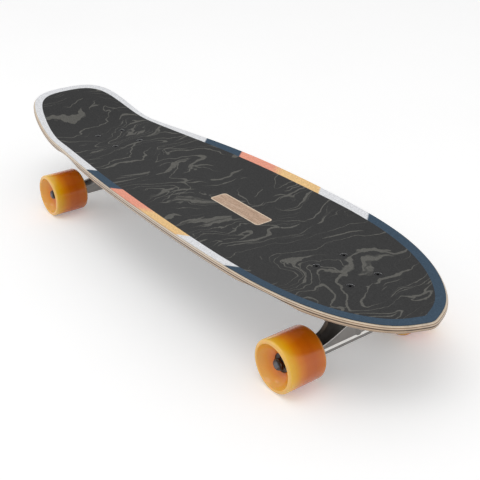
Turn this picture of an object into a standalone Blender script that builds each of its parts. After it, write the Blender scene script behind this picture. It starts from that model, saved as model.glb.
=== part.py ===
"""Cruiser skateboard: kicktail deck with a full grip sheet, two steering trucks and four soft wheels.

+X points to the nose, +Y to the rider's left and +Z up. The origin is on the ground under the middle of
the deck. All sizes are in metres. In a truck's own frame the origin is the middle of its axle and +X
points outboard, to the nearer end of the board, so the rear truck is the front one turned half round.
"""
import math

import bmesh
import bpy
import numpy as np
from mathutils import Matrix, Vector

# Fits
GAP = 0.0003
BOLT_PLAY = 0.0003
BORE_PLAY = 0.0003

# Deck
DECK_LENGTH = 0.8125
DECK_WIDTH = 0.229
DECK_THICKNESS = 0.0086
EDGE_ROUND = 0.0030
FLAT_HALF_WIDTH = 0.025
CONCAVE_RISE = 0.0091
CONCAVE_FULL_FROM_TAIL = 0.452
CONCAVE_FADE_LENGTH = 0.350
KICK_START_FROM_TAIL = 0.1425
KICK_SPAN = 0.170
KICK_HEIGHT = 0.0375
WIDEST_FROM_TAIL = 0.607 * DECK_LENGTH
# Outline points from each tip: shares of the length along the board and of the half width across it
TAIL_OUTLINE = (
    (0.0025, 0.244), (0.010, 0.401), (0.022, 0.514), (0.037, 0.589), (0.074, 0.681), (0.129, 0.741),
    (0.197, 0.790), (0.314, 0.889), (0.449, 0.969), (0.529, 0.992))
NOSE_OUTLINE = (
    (0.0037, 0.099), (0.010, 0.204), (0.022, 0.343), (0.037, 0.457), (0.058, 0.576), (0.105, 0.757),
    (0.169, 0.894), (0.261, 0.976), (0.320, 0.993))
WELL_DEPTH = 0.0040
WELL_INBOARD = 0.032
WELL_HALF_LENGTH = 0.042
WELL_HALF_WIDTH = 0.042

# Grip sheet
GRIP_THICKNESS = 0.0008
GRIP_INSET = 0.0012

# Truck places and mounting holes
INNER_HOLE_DISTANCE = 0.450
HOLE_MIDDLE_FROM_TAIL = 0.5323 * DECK_LENGTH
HOLE_PITCH_X = 0.054
HOLE_PITCH_Y = 0.0413
AXLE_BEYOND_INNER_HOLE = 0.0431
TRUCK_HEIGHT = 0.0535

# Mounting bolts and lock nuts
BOLT_RADIUS = 0.0024
BOLT_HEAD_RADIUS = 0.0044
BOLT_HEAD_RIM = 0.0005
BOLT_HEAD_BELOW_GRIP = 0.0001
BOLT_CONE_HEIGHT = 0.0021
BOLT_SOCKET_RADIUS = 0.0016
BOLT_SOCKET_DEPTH = 0.0016
BOLT_TAIL = 0.0020
LOCK_NUT_FLATS = 0.0095
LOCK_NUT_HEIGHT = 0.0050

# Riser pads
RISER_THICKNESS = 0.0064
RISER_MARGIN = 0.0015

# Baseplate
PLATE_THICKNESS = 0.0060
PLATE_WIDTH = 0.0570
PLATE_INBOARD_MARGIN = 0.0110
PLATE_OUTBOARD_MARGIN = 0.0250
PLATE_CORNER = 0.0090
BOSS_RADIUS = 0.0135
BOSS_ROOT_RADIUS = 0.0165
HOUSING_RADIUS = 0.0125
HOUSING_MOUTH = 0.0065
WEB_WIDTH = 0.0090
WEB_DEPTH = 0.0060

# Kingpin and its bushings, along the kingpin from the middle of the hanger's ring
RING_CENTRE_INBOARD = 0.024
RING_CENTRE_ABOVE = 0.010
KINGPIN_TILT = math.radians(12.0)
KINGPIN_RADIUS = 0.0049
KINGPIN_TAIL = 0.0026
KINGPIN_HEAD_HEIGHT = 0.0070
KINGPIN_HEAD_FLATS = 0.0140
KINGPIN_HEAD_PLAY = 0.0006
KINGPIN_HEAD_BELOW_TOP = 0.0026
BOARD_BUSHING_HEIGHT = 0.0123
ROAD_BUSHING_HEIGHT = 0.0105
BUSHING_RADIUS = 0.0122
ROAD_BUSHING_END_RADIUS = 0.0088
BOARD_WASHER_RADIUS = 0.0125
ROAD_WASHER_RADIUS = 0.0105
KINGPIN_WASHER_THICKNESS = 0.0010
KINGPIN_NUT_FLATS = 0.0143
KINGPIN_NUT_HEIGHT = 0.0070

# Hanger
HANGER_WIDTH = 0.160
TUBE_HALF = 0.0106
TUBE_END_HALF = 0.0104
TUBE_SQUARENESS = 2.7
TUBE_ROUND_FROM = 0.055
MOUND_RISE = 0.021
MOUND_HALF_WIDTH = 0.033
MOUND_STEEPNESS = 6
MOUND_DIRECTION = math.radians(110.0)
RING_RADIUS = 0.019
RING_HALF_HEIGHT = 0.006
RING_WEB_HALF = 0.0028
RING_HOLE_RADIUS = 0.0072
SEAT_PLAY = 0.0004
STACK_CLEARANCE = 0.0026
WASHER_CLEARANCE = 0.0075
WASHER_CLEARANCE_FROM = 0.009

# Pivot of the hanger and its cup in the baseplate
PIVOT_OUTBOARD = 0.020
PIVOT_ABOVE = 0.036
PIVOT_RADIUS = 0.0056
PIVOT_STRAIGHT = 0.0070
PIVOT_TIP = 0.0025
PIVOT_TIP_RADIUS = 0.0040
PIVOT_ARM_RADIUS = 0.0080
PIVOT_KNEE = 0.0140
ARM_FOOT_RADIUS = 0.0095
CUP_PLAY = 0.0006
CUP_WALL = 0.0028
CUP_BOTTOM = 0.0025
CUP_MOUTH = 0.0060

# Axle, wheels and bearings
AXLE_RADIUS = 0.0040
AXLE_TAIL = 0.0012
AXLE_NUT_FLATS = 0.0127
AXLE_NUT_HEIGHT = 0.0052
SPEED_WASHER_THICKNESS = 0.0010
WHEEL_RADIUS = 0.031
WHEEL_WIDTH = 0.052
WHEEL_OFFSET = -0.0016
OUTER_LIP_ROUND = 0.0030
INNER_LIP_ROUND = 0.0050
FACE_BAND = 0.0032
OUTER_DISH_FLOOR_RADIUS = 0.0130
INNER_DISH_FLOOR_RADIUS = 0.0138
INNER_FACE_BAND = 0.0030
DISH_BOW = 0.0030
CORE_RADIUS = 0.0085
BEARING_RADIUS = 0.0110
BEARING_WIDTH = 0.0070
SPACER_LENGTH = 0.0080
SPACER_WALL = 0.0013

# Facets
OUTLINE_STEPS = 48
OUTLINE_TIP_CROWDING = 0.65
EDGE_STEPS = 2
WHEEL_SIDES = 24
ROUND_SIDES = 16
SMALL_SIDES = 10
HANGER_SIDES = 16
HANGER_STEPS = 10

# Places that follow from the sizes
TAIL_X = -DECK_LENGTH / 2
NOSE_X = DECK_LENGTH / 2
HOLE_MIDDLE_X = TAIL_X + HOLE_MIDDLE_FROM_TAIL
AXLE_FROM_MIDDLE = INNER_HOLE_DISTANCE / 2 + AXLE_BEYOND_INNER_HOLE
AXLE_Z = WHEEL_RADIUS
PLATE_TOP = TRUCK_HEIGHT
PLATE_BOTTOM = PLATE_TOP - PLATE_THICKNESS
RISER_BOTTOM = PLATE_TOP + GAP
RISER_TOP = RISER_BOTTOM + RISER_THICKNESS
DECK_TOP_ABOVE_AXLE = RISER_TOP + GAP + DECK_THICKNESS
DECK_TOP = AXLE_Z + DECK_TOP_ABOVE_AXLE
GRIP_TOP_ABOVE_AXLE = DECK_TOP_ABOVE_AXLE + GAP + GRIP_THICKNESS
HOLE_RADIUS = BOLT_RADIUS + BOLT_PLAY
HOLES = tuple(
    (along, side * HOLE_PITCH_Y / 2)
    for along in (-AXLE_BEYOND_INNER_HOLE, HOLE_PITCH_X - AXLE_BEYOND_INNER_HOLE)
    for side in (1, -1))
RING_CENTRE = Vector((-RING_CENTRE_INBOARD, 0.0, RING_CENTRE_ABOVE))
PIVOT = Vector((PIVOT_OUTBOARD, 0.0, PIVOT_ABOVE))
STEERING_AXIS = (PIVOT - RING_CENTRE).normalized()
INNER_BEARING_Y = HANGER_WIDTH / 2 + SPEED_WASHER_THICKNESS + GAP
OUTER_BEARING_Y = INNER_BEARING_Y + BEARING_WIDTH + GAP + SPACER_LENGTH + GAP
AXLE_NUT_Y = OUTER_BEARING_Y + BEARING_WIDTH + GAP + SPEED_WASHER_THICKNESS + GAP
AXLE_HALF_LENGTH = AXLE_NUT_Y + AXLE_NUT_HEIGHT + AXLE_TAIL
WHEEL_Y = INNER_BEARING_Y + BEARING_WIDTH + GAP + SPACER_LENGTH / 2 + WHEEL_OFFSET


def clear_objects():
    """Empty the scene of its starting objects."""
    for thing in list(bpy.data.objects):
        bpy.data.objects.remove(thing, do_unlink=True)


def material(name, colour, roughness, metallic=0.0):
    """Plain finish of one kind of piece."""
    finish = bpy.data.materials.new(name)
    finish.use_nodes = True
    shader = finish.node_tree.nodes["Principled BSDF"]
    shader.inputs["Base Color"].default_value = (*colour, 1.0)
    shader.inputs["Roughness"].default_value = roughness
    shader.inputs["Metallic"].default_value = metallic
    return finish


def solid(name, shape, finish=None, parent=None):
    """Make an object of (points, faces), closed, facing out and with its hard edges kept."""
    points, faces = shape
    mesh = bpy.data.meshes.new(name)
    work = bmesh.new()
    corners = [work.verts.new(point) for point in points]
    for face in faces:
        work.faces.new([corners[index] for index in face])
    bmesh.ops.remove_doubles(work, verts=work.verts, dist=1e-6)
    bmesh.ops.recalc_face_normals(work, faces=work.faces)
    work.to_mesh(mesh)
    work.free()
    mesh.shade_smooth()
    mesh.set_sharp_from_angle(angle=math.radians(35.0))
    thing = bpy.data.objects.new(name, mesh)
    bpy.context.collection.objects.link(thing)
    if finish:
        mesh.materials.append(finish)
    thing.parent = parent
    return thing


def empty(name, place, turn=0.0, parent=None):
    """Named frame that pieces hang on."""
    frame = bpy.data.objects.new(name, None)
    bpy.context.collection.objects.link(frame)
    frame.parent = parent
    frame.location = place
    frame.rotation_euler = (0.0, 0.0, turn)
    return frame


def cut(thing, cutters, operation="DIFFERENCE"):
    """Cut, or join, the cutters into a piece and bake the result."""
    for cutter in cutters:
        cutter.hide_render = True
        cutter.display_type = "WIRE"
        step = thing.modifiers.new(operation.title(), "BOOLEAN")
        step.operation = operation
        step.use_self = True
        step.object = cutter
        bpy.context.view_layer.update()
        graph = bpy.context.evaluated_depsgraph_get()
        baked = bpy.data.meshes.new_from_object(thing.evaluated_get(graph))
        thing.modifiers.clear()
        thing.data = baked
        bpy.data.objects.remove(cutter, do_unlink=True)
    work = bmesh.new()
    work.from_mesh(thing.data)
    bmesh.ops.remove_doubles(work, verts=work.verts, dist=2e-6)
    bmesh.ops.dissolve_degenerate(work, edges=work.edges, dist=2e-6)
    work.to_mesh(thing.data)
    work.free()
    thing.data.set_sharp_from_angle(angle=math.radians(35.0))


def lofted(loops, capped=True):
    """Skin a list of equal closed loops, with flat caps unless the end loops close on themselves."""
    points = [point for loop in loops for point in loop]
    size = len(loops[0])
    faces = []
    for row in range(len(loops) - 1):
        for index in range(size):
            after = (index + 1) % size
            faces.append((
                row * size + index, row * size + after, (row + 1) * size + after, (row + 1) * size + index))
    if capped:
        faces.append(tuple(range(size)))
        faces.append(tuple((len(loops) - 1) * size + index for index in range(size)))
    return points, faces


def turned(profile, sides):
    """Revolve (radius, height) points round Z. Ends on the axis close the shape; else it is a ring."""
    points = []
    rings = []
    for radius, height in profile:
        if radius == 0.0:
            rings.append([len(points)] * sides)
            points.append((0.0, 0.0, height))
            continue
        rings.append(list(range(len(points), len(points) + sides)))
        for index in range(sides):
            angle = math.tau * (index + 0.5) / sides
            points.append((radius * math.cos(angle), radius * math.sin(angle), height))
    pairs = list(zip(rings, rings[1:]))
    if profile[0][0] > 0.0:
        pairs.append((rings[-1], rings[0]))
    faces = []
    for low, high in pairs:
        for index in range(sides):
            after = (index + 1) % sides
            ring = [low[index], low[after], high[after], high[index]]
            faces.append(tuple(dict.fromkeys(ring)))
    return points, faces


def rod(radius, start, end, sides, end_radius=None):
    """Plain round bar, or cone, along Z."""
    return turned(((0.0, start), (radius, start), (end_radius or radius, end), (0.0, end)), sides)


def hex_nut(flats, bore, start, height, collar):
    """Hexagon nut along Z with a round bore and a round collar on its far end."""
    body_top = start + height - collar
    sides = 2 * 6
    loops = []
    for level, kind in ((start, "bore"), (start, "hex"), (body_top, "hex"), (start + height, "collar"),
                        (start + height, "bore")):
        loop = []
        for index in range(sides):
            angle = math.tau * index / sides
            radius = bore
            if kind == "hex":
                radius = flats / 2 if index % 2 == 0 else flats / 2 / math.cos(math.pi / 6)
            if kind == "collar":
                radius = flats / 2 - collar
            loop.append((radius * math.cos(angle), radius * math.sin(angle), level))
        loops.append(loop)
    loops.append(loops[0])
    return lofted(loops, capped=False)


def moved(shape, place=(0.0, 0.0, 0.0), direction=(0.0, 0.0, 1.0)):
    """Shape with its Z laid along a direction, then set at a place."""
    points, faces = shape
    turn = Vector((0.0, 0.0, 1.0)).rotation_difference(Vector(direction)).to_matrix()
    return [tuple(turn @ Vector(point) + Vector(place)) for point in points], faces


def clamped_spline(points, start_slope, end_slope):
    """Smooth curve through 2-D points, by the length along their chords."""
    knots = np.array(points, dtype=float)
    steps = np.linalg.norm(np.diff(knots, axis=0), axis=1)
    run = np.concatenate(([0.0], np.cumsum(steps)))
    count = len(knots)
    matrix = np.zeros((count, count))
    target = np.zeros((count, 2))
    matrix[0, 0] = matrix[-1, -1] = 1.0
    target[0] = start_slope
    target[-1] = end_slope
    for index in range(1, count - 1):
        before, after = steps[index - 1], steps[index]
        matrix[index, index - 1:index + 2] = (1 / before, 2 / before + 2 / after, 1 / after)
        target[index] = 3 * (
            (knots[index] - knots[index - 1]) / before ** 2 + (knots[index + 1] - knots[index]) / after ** 2)
    slopes = np.linalg.solve(matrix, target)

    def at(length):
        index = int(np.clip(np.searchsorted(run, length) - 1, 0, count - 2))
        step = steps[index]
        share = (length - run[index]) / step
        rest = 1 - share
        place = (
            (1 + 2 * share) * rest ** 2 * knots[index] + share * rest ** 2 * step * slopes[index]
            + share ** 2 * (3 - 2 * share) * knots[index + 1] - share ** 2 * rest * step * slopes[index + 1])
        heading = (
            6 * share * rest * (knots[index + 1] - knots[index]) / step
            + rest * (1 - 3 * share) * slopes[index] + share * (3 * share - 2) * slopes[index + 1])
        return place, heading / np.linalg.norm(heading)

    return at, run[-1]


def deck_outline():
    """Half of the deck's outline from tail to nose: points with their outward normals."""
    half = DECK_WIDTH / 2
    points = [(TAIL_X, 0.0)]
    points += [(TAIL_X + along * DECK_LENGTH, across * half) for along, across in TAIL_OUTLINE]
    points.append((TAIL_X + WIDEST_FROM_TAIL, half))
    points += [(NOSE_X - along * DECK_LENGTH, across * half) for along, across in reversed(NOSE_OUTLINE)]
    points.append((NOSE_X, 0.0))
    at, length = clamped_spline(points, (0.0, 1.0), (0.0, -1.0))
    stations = []
    for index in range(OUTLINE_STEPS + 1):
        even = index / OUTLINE_STEPS
        eased = (1 - math.cos(math.pi * even)) / 2
        place, heading = at(length * (even + OUTLINE_TIP_CROWDING * (eased - even)))
        stations.append((Vector(place), Vector((-heading[1], heading[0]))))
    stations[0][0].y = stations[-1][0].y = 0.0
    stations[0][1].xy = (-1.0, 0.0)
    stations[-1][1].xy = (1.0, 0.0)
    return stations


def deck_height(x, y):
    """Top of the wood: flat middle, raised edges and the tail's kick."""
    kick_run = min(max((TAIL_X + KICK_START_FROM_TAIL - x) / KICK_SPAN, 0.0), 1.0)
    kick = KICK_HEIGHT * (1 - math.cos(math.pi * kick_run)) / 2
    fade_run = min(max((TAIL_X + CONCAVE_FULL_FROM_TAIL - x) / CONCAVE_FADE_LENGTH, 0.0), 1.0)
    reach = max(abs(y) - FLAT_HALF_WIDTH, 0.0) / (DECK_WIDTH / 2 - FLAT_HALF_WIDTH)
    return DECK_TOP + kick + CONCAVE_RISE * (1 - fade_run ** 2) * reach ** 2


def below_deck_top(x, y, depth):
    """Point straight under a place on the top of the wood, at a depth counted square to the surface."""
    reach = 0.0005
    slope_x = (deck_height(x + reach, y) - deck_height(x - reach, y)) / (2 * reach)
    slope_y = (deck_height(x, y + reach) - deck_height(x, y - reach)) / (2 * reach)
    return (x, y, deck_height(x, y) - depth * math.sqrt(1 + slope_x ** 2 + slope_y ** 2))


def wheel_well(x, y):
    """How much the underside is hollowed over each wheel."""
    depth = 0.0
    for facing in (1, -1):
        along = (x - HOLE_MIDDLE_X - facing * (AXLE_FROM_MIDDLE - WELL_INBOARD)) / WELL_HALF_LENGTH
        across = (abs(y) - WHEEL_Y) / WELL_HALF_WIDTH
        depth += WELL_DEPTH * max(1 - along ** 2 - across ** 2, 0.0)
    return depth


def deck_loop(station, rings, bottom_depth):
    """Cross-section of a sheet that follows the deck; rings are (inset, depth) from top to bottom."""
    place, normal = station

    def edge(side, ring):
        inset, depth = ring
        x, y = place.x - inset * normal.x, side * (place.y - inset * normal.y)
        return below_deck_top(x, y, bottom_depth(x, y, depth))

    def across(side, ring):
        inset, depth = ring
        x, width = place.x - inset * normal.x, place.y - inset * normal.y
        flat = min(FLAT_HALF_WIDTH, width / 2)
        return [
            below_deck_top(x, side * y, bottom_depth(x, y, depth))
            for y in (width, (width + flat) / 2, flat)]

    top = across(1, rings[0]) + across(-1, rings[0])[::-1]
    right = [edge(-1, ring) for ring in rings[1:-1]]
    bottom = across(-1, rings[-1]) + across(1, rings[-1])[::-1]
    left = [edge(1, ring) for ring in rings[1:-1]][::-1]
    return top + right + bottom + left


def at_holes(make):
    """One cutter at each of the eight mounting holes, in board coordinates."""
    cutters = []
    for facing in (1, -1):
        for along, across in HOLES:
            x = HOLE_MIDDLE_X + facing * (AXLE_FROM_MIDDLE + along)
            cutters.append(solid("hole", moved(make(), (x, facing * across, 0.0))))
    return cutters


def make_deck(finish):
    """Seven-ply maple deck with rounded edges, wheel wells and countersunk holes."""
    rings = [(EDGE_ROUND, 0.0)]
    for step in range(1, EDGE_STEPS + 1):
        angle = math.pi / 2 * step / EDGE_STEPS
        rings.append((EDGE_ROUND * (1 - math.sin(angle)), EDGE_ROUND * (1 - math.cos(angle))))
    rings += [(inset, DECK_THICKNESS - depth) for inset, depth in reversed(rings)]

    def depth_with_wells(x, y, depth):
        return depth * (1 - wheel_well(x, y) / DECK_THICKNESS)

    loops = [deck_loop(station, rings, depth_with_wells) for station in deck_outline()]
    deck = solid("deck", lofted(loops, capped=False), finish)
    cone_top = BOLT_HEAD_RADIUS + BOLT_PLAY
    cone_depth = BOLT_CONE_HEIGHT + BOLT_PLAY

    def countersunk():
        top = DECK_TOP + EDGE_ROUND
        return turned((
            (0.0, DECK_TOP - 2 * DECK_THICKNESS), (HOLE_RADIUS, DECK_TOP - 2 * DECK_THICKNESS),
            (HOLE_RADIUS, DECK_TOP - cone_depth), (cone_top, DECK_TOP), (cone_top, top), (0.0, top)),
            SMALL_SIDES)

    cut(deck, at_holes(countersunk))
    return deck


def make_grip(finish):
    """Grit sheet over the whole top, trimmed at the rounded edge, with a hole round each bolt head."""
    rings = [(GRIP_INSET, -GAP - GRIP_THICKNESS), (GRIP_INSET, -GAP)]
    loops = [deck_loop(station, rings, lambda x, y, depth: depth) for station in deck_outline()]
    grip = solid("grip_sheet", lofted(loops, capped=False), finish)
    radius = BOLT_HEAD_RADIUS + BOLT_PLAY
    cut(grip, at_holes(lambda: rod(radius, DECK_TOP - GRIP_THICKNESS, DECK_TOP + 3 * GRIP_THICKNESS, SMALL_SIDES)))
    return grip


def slab(low_x, high_x, width, bottom, top, corner):
    """Flat plate with round corners."""
    loop = []
    for sign_x, sign_y, turn in ((1, 1, 0), (-1, 1, 1), (-1, -1, 2), (1, -1, 3)):
        centre_x = (high_x if sign_x > 0 else low_x) - sign_x * corner
        centre_y = sign_y * (width / 2 - corner)
        for step in range(3):
            angle = math.pi / 2 * (turn + step / 2)
            loop.append((centre_x + corner * math.cos(angle), centre_y + corner * math.sin(angle)))
    return lofted([[(x, y, level) for x, y in loop] for level in (bottom, top)])


def truck_holes(bottom, top):
    """Cutters for the four mounting holes in a truck's own frame."""
    return [
        solid("hole", moved(rod(HOLE_RADIUS, bottom, top, SMALL_SIDES), (along, across, 0.0)))
        for along, across in HOLES]


def place_in_truck(thing, truck, origin=(0.0, 0.0, 0.0)):
    """Hang a piece on its truck, with its own origin at a point of the truck's frame."""
    thing.data.transform(Matrix.Translation(-Vector(origin)))
    thing.parent = truck
    thing.location = origin


def make_riser(name, truck, finish):
    """Soft pad between the baseplate and the deck."""
    low = HOLES[0][0] - PLATE_INBOARD_MARGIN - RISER_MARGIN
    high = HOLES[2][0] + PLATE_OUTBOARD_MARGIN + RISER_MARGIN
    riser = solid(name, slab(low, high, PLATE_WIDTH + 2 * RISER_MARGIN, RISER_BOTTOM, RISER_TOP, PLATE_CORNER), finish)
    cut(riser, truck_holes(RISER_BOTTOM - RISER_THICKNESS, RISER_TOP + RISER_THICKNESS))
    place_in_truck(riser, truck)


def make_bolt(name, truck, hole, finish):
    """Countersunk mounting bolt from the grip's face to below its lock nut."""
    top = GRIP_TOP_ABOVE_AXLE - BOLT_HEAD_BELOW_GRIP
    cone_end = DECK_TOP_ABOVE_AXLE - BOLT_CONE_HEIGHT
    end = PLATE_BOTTOM - GAP - LOCK_NUT_HEIGHT - BOLT_TAIL
    profile = (
        (0.0, top - BOLT_SOCKET_DEPTH), (BOLT_SOCKET_RADIUS, top - BOLT_SOCKET_DEPTH), (BOLT_SOCKET_RADIUS, top),
        (BOLT_HEAD_RADIUS, top), (BOLT_HEAD_RADIUS, top - BOLT_HEAD_RIM), (BOLT_RADIUS, cone_end),
        (BOLT_RADIUS, end), (0.0, end))
    bolt = solid(name, turned(profile, SMALL_SIDES), finish, truck)
    bolt.location = (*hole, 0.0)


def make_lock_nut(name, truck, hole, finish):
    """Lock nut that draws the truck up to the deck."""
    start = PLATE_BOTTOM - GAP
    shape = hex_nut(LOCK_NUT_FLATS, HOLE_RADIUS, 0.0, LOCK_NUT_HEIGHT, BOLT_HEAD_RIM)
    nut = solid(name, moved(shape, direction=(0.0, 0.0, -1.0)), finish, truck)
    nut.location = (*hole, start)


def on_kingpin(thing):
    """Set a piece turned round the kingpin at the ring's centre, tilted with the kingpin."""
    thing.location = RING_CENTRE
    thing.rotation_euler = (0.0, KINGPIN_TILT, 0.0)
    return thing


# Stations along the kingpin, up from the middle of the ring
BOARD_BUSHING_START = RING_WEB_HALF + GAP
BOARD_WASHER_START = BOARD_BUSHING_START + BOARD_BUSHING_HEIGHT + GAP
BOSS_START = BOARD_WASHER_START + KINGPIN_WASHER_THICKNESS + GAP
ROAD_BUSHING_START = RING_WEB_HALF + GAP
ROAD_WASHER_START = ROAD_BUSHING_START + ROAD_BUSHING_HEIGHT + GAP
KINGPIN_NUT_START = ROAD_WASHER_START + KINGPIN_WASHER_THICKNESS + GAP
KINGPIN_END = KINGPIN_NUT_START + KINGPIN_NUT_HEIGHT + KINGPIN_TAIL
KINGPIN_HEAD_TOP = (PLATE_TOP - RING_CENTRE_ABOVE) / math.cos(KINGPIN_TILT) - KINGPIN_HEAD_BELOW_TOP
KINGPIN_HEAD_START = KINGPIN_HEAD_TOP - KINGPIN_HEAD_HEIGHT
HEAD_CORNER_RADIUS = KINGPIN_HEAD_FLATS / 2 / math.cos(math.pi / 6)
KINGPIN_HOLE = KINGPIN_RADIUS + BORE_PLAY


def make_baseplate(name, truck, finish):
    """Cast baseplate: flange with four holes, kingpin boss and pivot housing."""
    low = HOLES[0][0] - PLATE_INBOARD_MARGIN
    high = HOLES[2][0] + PLATE_OUTBOARD_MARGIN
    plate = solid(name, slab(low, high, PLATE_WIDTH, PLATE_BOTTOM, PLATE_TOP, PLATE_CORNER), finish)
    kingpin_axis = Vector((math.sin(KINGPIN_TILT), 0.0, math.cos(KINGPIN_TILT)))
    boss = moved(
        rod(BOSS_RADIUS, BOSS_START, KINGPIN_HEAD_TOP, ROUND_SIDES, BOSS_ROOT_RADIUS), RING_CENTRE, kingpin_axis)
    housing_end = (PLATE_TOP - PIVOT_ABOVE) / STEERING_AXIS.z * 0.72
    housing = moved(rod(HOUSING_RADIUS, -HOUSING_MOUTH, housing_end, ROUND_SIDES), PIVOT, STEERING_AXIS)
    web = slab(
        RING_CENTRE.x + BOSS_RADIUS, PIVOT.x, WEB_WIDTH, PLATE_BOTTOM - WEB_DEPTH, PLATE_TOP - GAP, WEB_WIDTH / 4)
    cut(plate, [solid("boss", boss), solid("housing", housing), solid("web", web)], "UNION")
    above = slab(low - PLATE_WIDTH, high + PLATE_WIDTH, 2 * PLATE_WIDTH, PLATE_TOP, 2 * PLATE_TOP, PLATE_CORNER)
    cutters = [solid("above", above)]
    cutters += truck_holes(PLATE_BOTTOM - PLATE_THICKNESS, PLATE_TOP + PLATE_THICKNESS)
    kingpin_room = turned((
        (0.0, 0.0), (KINGPIN_HOLE, 0.0), (KINGPIN_HOLE, KINGPIN_HEAD_START - GAP),
        (HEAD_CORNER_RADIUS + KINGPIN_HEAD_PLAY, KINGPIN_HEAD_START - GAP),
        (HEAD_CORNER_RADIUS + KINGPIN_HEAD_PLAY, 2 * PLATE_TOP), (0.0, 2 * PLATE_TOP)), ROUND_SIDES)
    cutters.append(solid("kingpin_room", moved(kingpin_room, RING_CENTRE, kingpin_axis)))
    socket = rod(CUP_RADIUS + GAP, -3 * HOUSING_MOUTH, CUP_END + GAP, ROUND_SIDES)
    cutters.append(solid("socket", moved(socket, PIVOT, STEERING_AXIS)))
    cut(plate, cutters)
    place_in_truck(plate, truck)


# Pivot cup sizes, along the steering axis from the pivot point
CUP_BORE = PIVOT_RADIUS + CUP_PLAY
CUP_RADIUS = CUP_BORE + CUP_WALL
CUP_FLOOR = PIVOT_TIP + CUP_PLAY
CUP_END = CUP_FLOOR + CUP_BOTTOM


def make_pivot_cup(name, truck, finish):
    """Urethane cup that the hanger's pivot turns in."""
    profile = (
        (0.0, CUP_END), (CUP_RADIUS, CUP_END), (CUP_RADIUS, -CUP_MOUTH), (CUP_BORE, -CUP_MOUTH),
        (CUP_BORE, CUP_FLOOR), (0.0, CUP_FLOOR))
    cup = solid(name, moved(turned(profile, ROUND_SIDES), direction=STEERING_AXIS), finish, truck)
    cup.location = PIVOT


def make_kingpin(name, truck, finish):
    """Kingpin with a hexagon head let into the top of the baseplate."""
    head = rod(HEAD_CORNER_RADIUS, KINGPIN_HEAD_START, KINGPIN_HEAD_TOP, 6)
    shank = rod(KINGPIN_RADIUS, -KINGPIN_END, KINGPIN_HEAD_START + KINGPIN_HEAD_HEIGHT / 2, ROUND_SIDES)
    kingpin = solid(name, head, finish)
    cut(kingpin, [solid("shank", shank)], "UNION")
    kingpin.parent = truck
    on_kingpin(kingpin)


def stack_ring(name, truck, finish, start, height, radius, end_radius=None):
    """Washer or bushing on the kingpin, from start towards the deck, or to the road if height is negative."""
    end = start + height
    profile = (
        (KINGPIN_HOLE, start), (radius, start), (end_radius or radius, end), (KINGPIN_HOLE, end))
    return on_kingpin(solid(name, turned(profile, ROUND_SIDES), finish, truck))


def make_stack(where, truck, finishes):
    """Washers, bushings and nut on the kingpin."""
    stack_ring(
        f"{where}_boardside_washer", truck, finishes["steel"], BOARD_WASHER_START, KINGPIN_WASHER_THICKNESS,
        BOARD_WASHER_RADIUS)
    stack_ring(
        f"{where}_boardside_bushing", truck, finishes["bushing"], BOARD_BUSHING_START, BOARD_BUSHING_HEIGHT,
        BUSHING_RADIUS)
    stack_ring(
        f"{where}_roadside_bushing", truck, finishes["bushing"], -ROAD_BUSHING_START, -ROAD_BUSHING_HEIGHT,
        BUSHING_RADIUS, ROAD_BUSHING_END_RADIUS)
    stack_ring(
        f"{where}_roadside_washer", truck, finishes["steel"], -ROAD_WASHER_START, -KINGPIN_WASHER_THICKNESS,
        ROAD_WASHER_RADIUS)
    nut = hex_nut(KINGPIN_NUT_FLATS, KINGPIN_HOLE, KINGPIN_NUT_START, KINGPIN_NUT_HEIGHT, BOLT_HEAD_RIM)
    on_kingpin(solid(f"{where}_kingpin_nut", moved(nut, direction=(0.0, 0.0, -1.0)), finishes["steel"], truck))


def hanger_section(y):
    """Loop of the hanger's body at a place along the axle: squared tube with the central mound."""
    beyond = min(max((abs(y) - TUBE_ROUND_FROM) / (HANGER_WIDTH / 2 - TUBE_ROUND_FROM), 0.0), 1.0)
    power = TUBE_SQUARENESS + (2.0 - TUBE_SQUARENESS) * beyond
    half = TUBE_HALF + (TUBE_END_HALF - TUBE_HALF) * beyond
    mound = MOUND_RISE / (1 + (abs(y) / MOUND_HALF_WIDTH) ** MOUND_STEEPNESS) * (1 - beyond)
    loop = []
    for index in range(HANGER_SIDES):
        angle = math.tau * index / HANGER_SIDES
        cosine, sine = math.cos(angle), math.sin(angle)
        radius = half / (abs(cosine) ** power + abs(sine) ** power) ** (1 / power)
        radius += mound * max(math.cos(angle - MOUND_DIRECTION), 0.0) ** 2
        loop.append((radius * cosine, y, radius * sine))
    return loop


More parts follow.
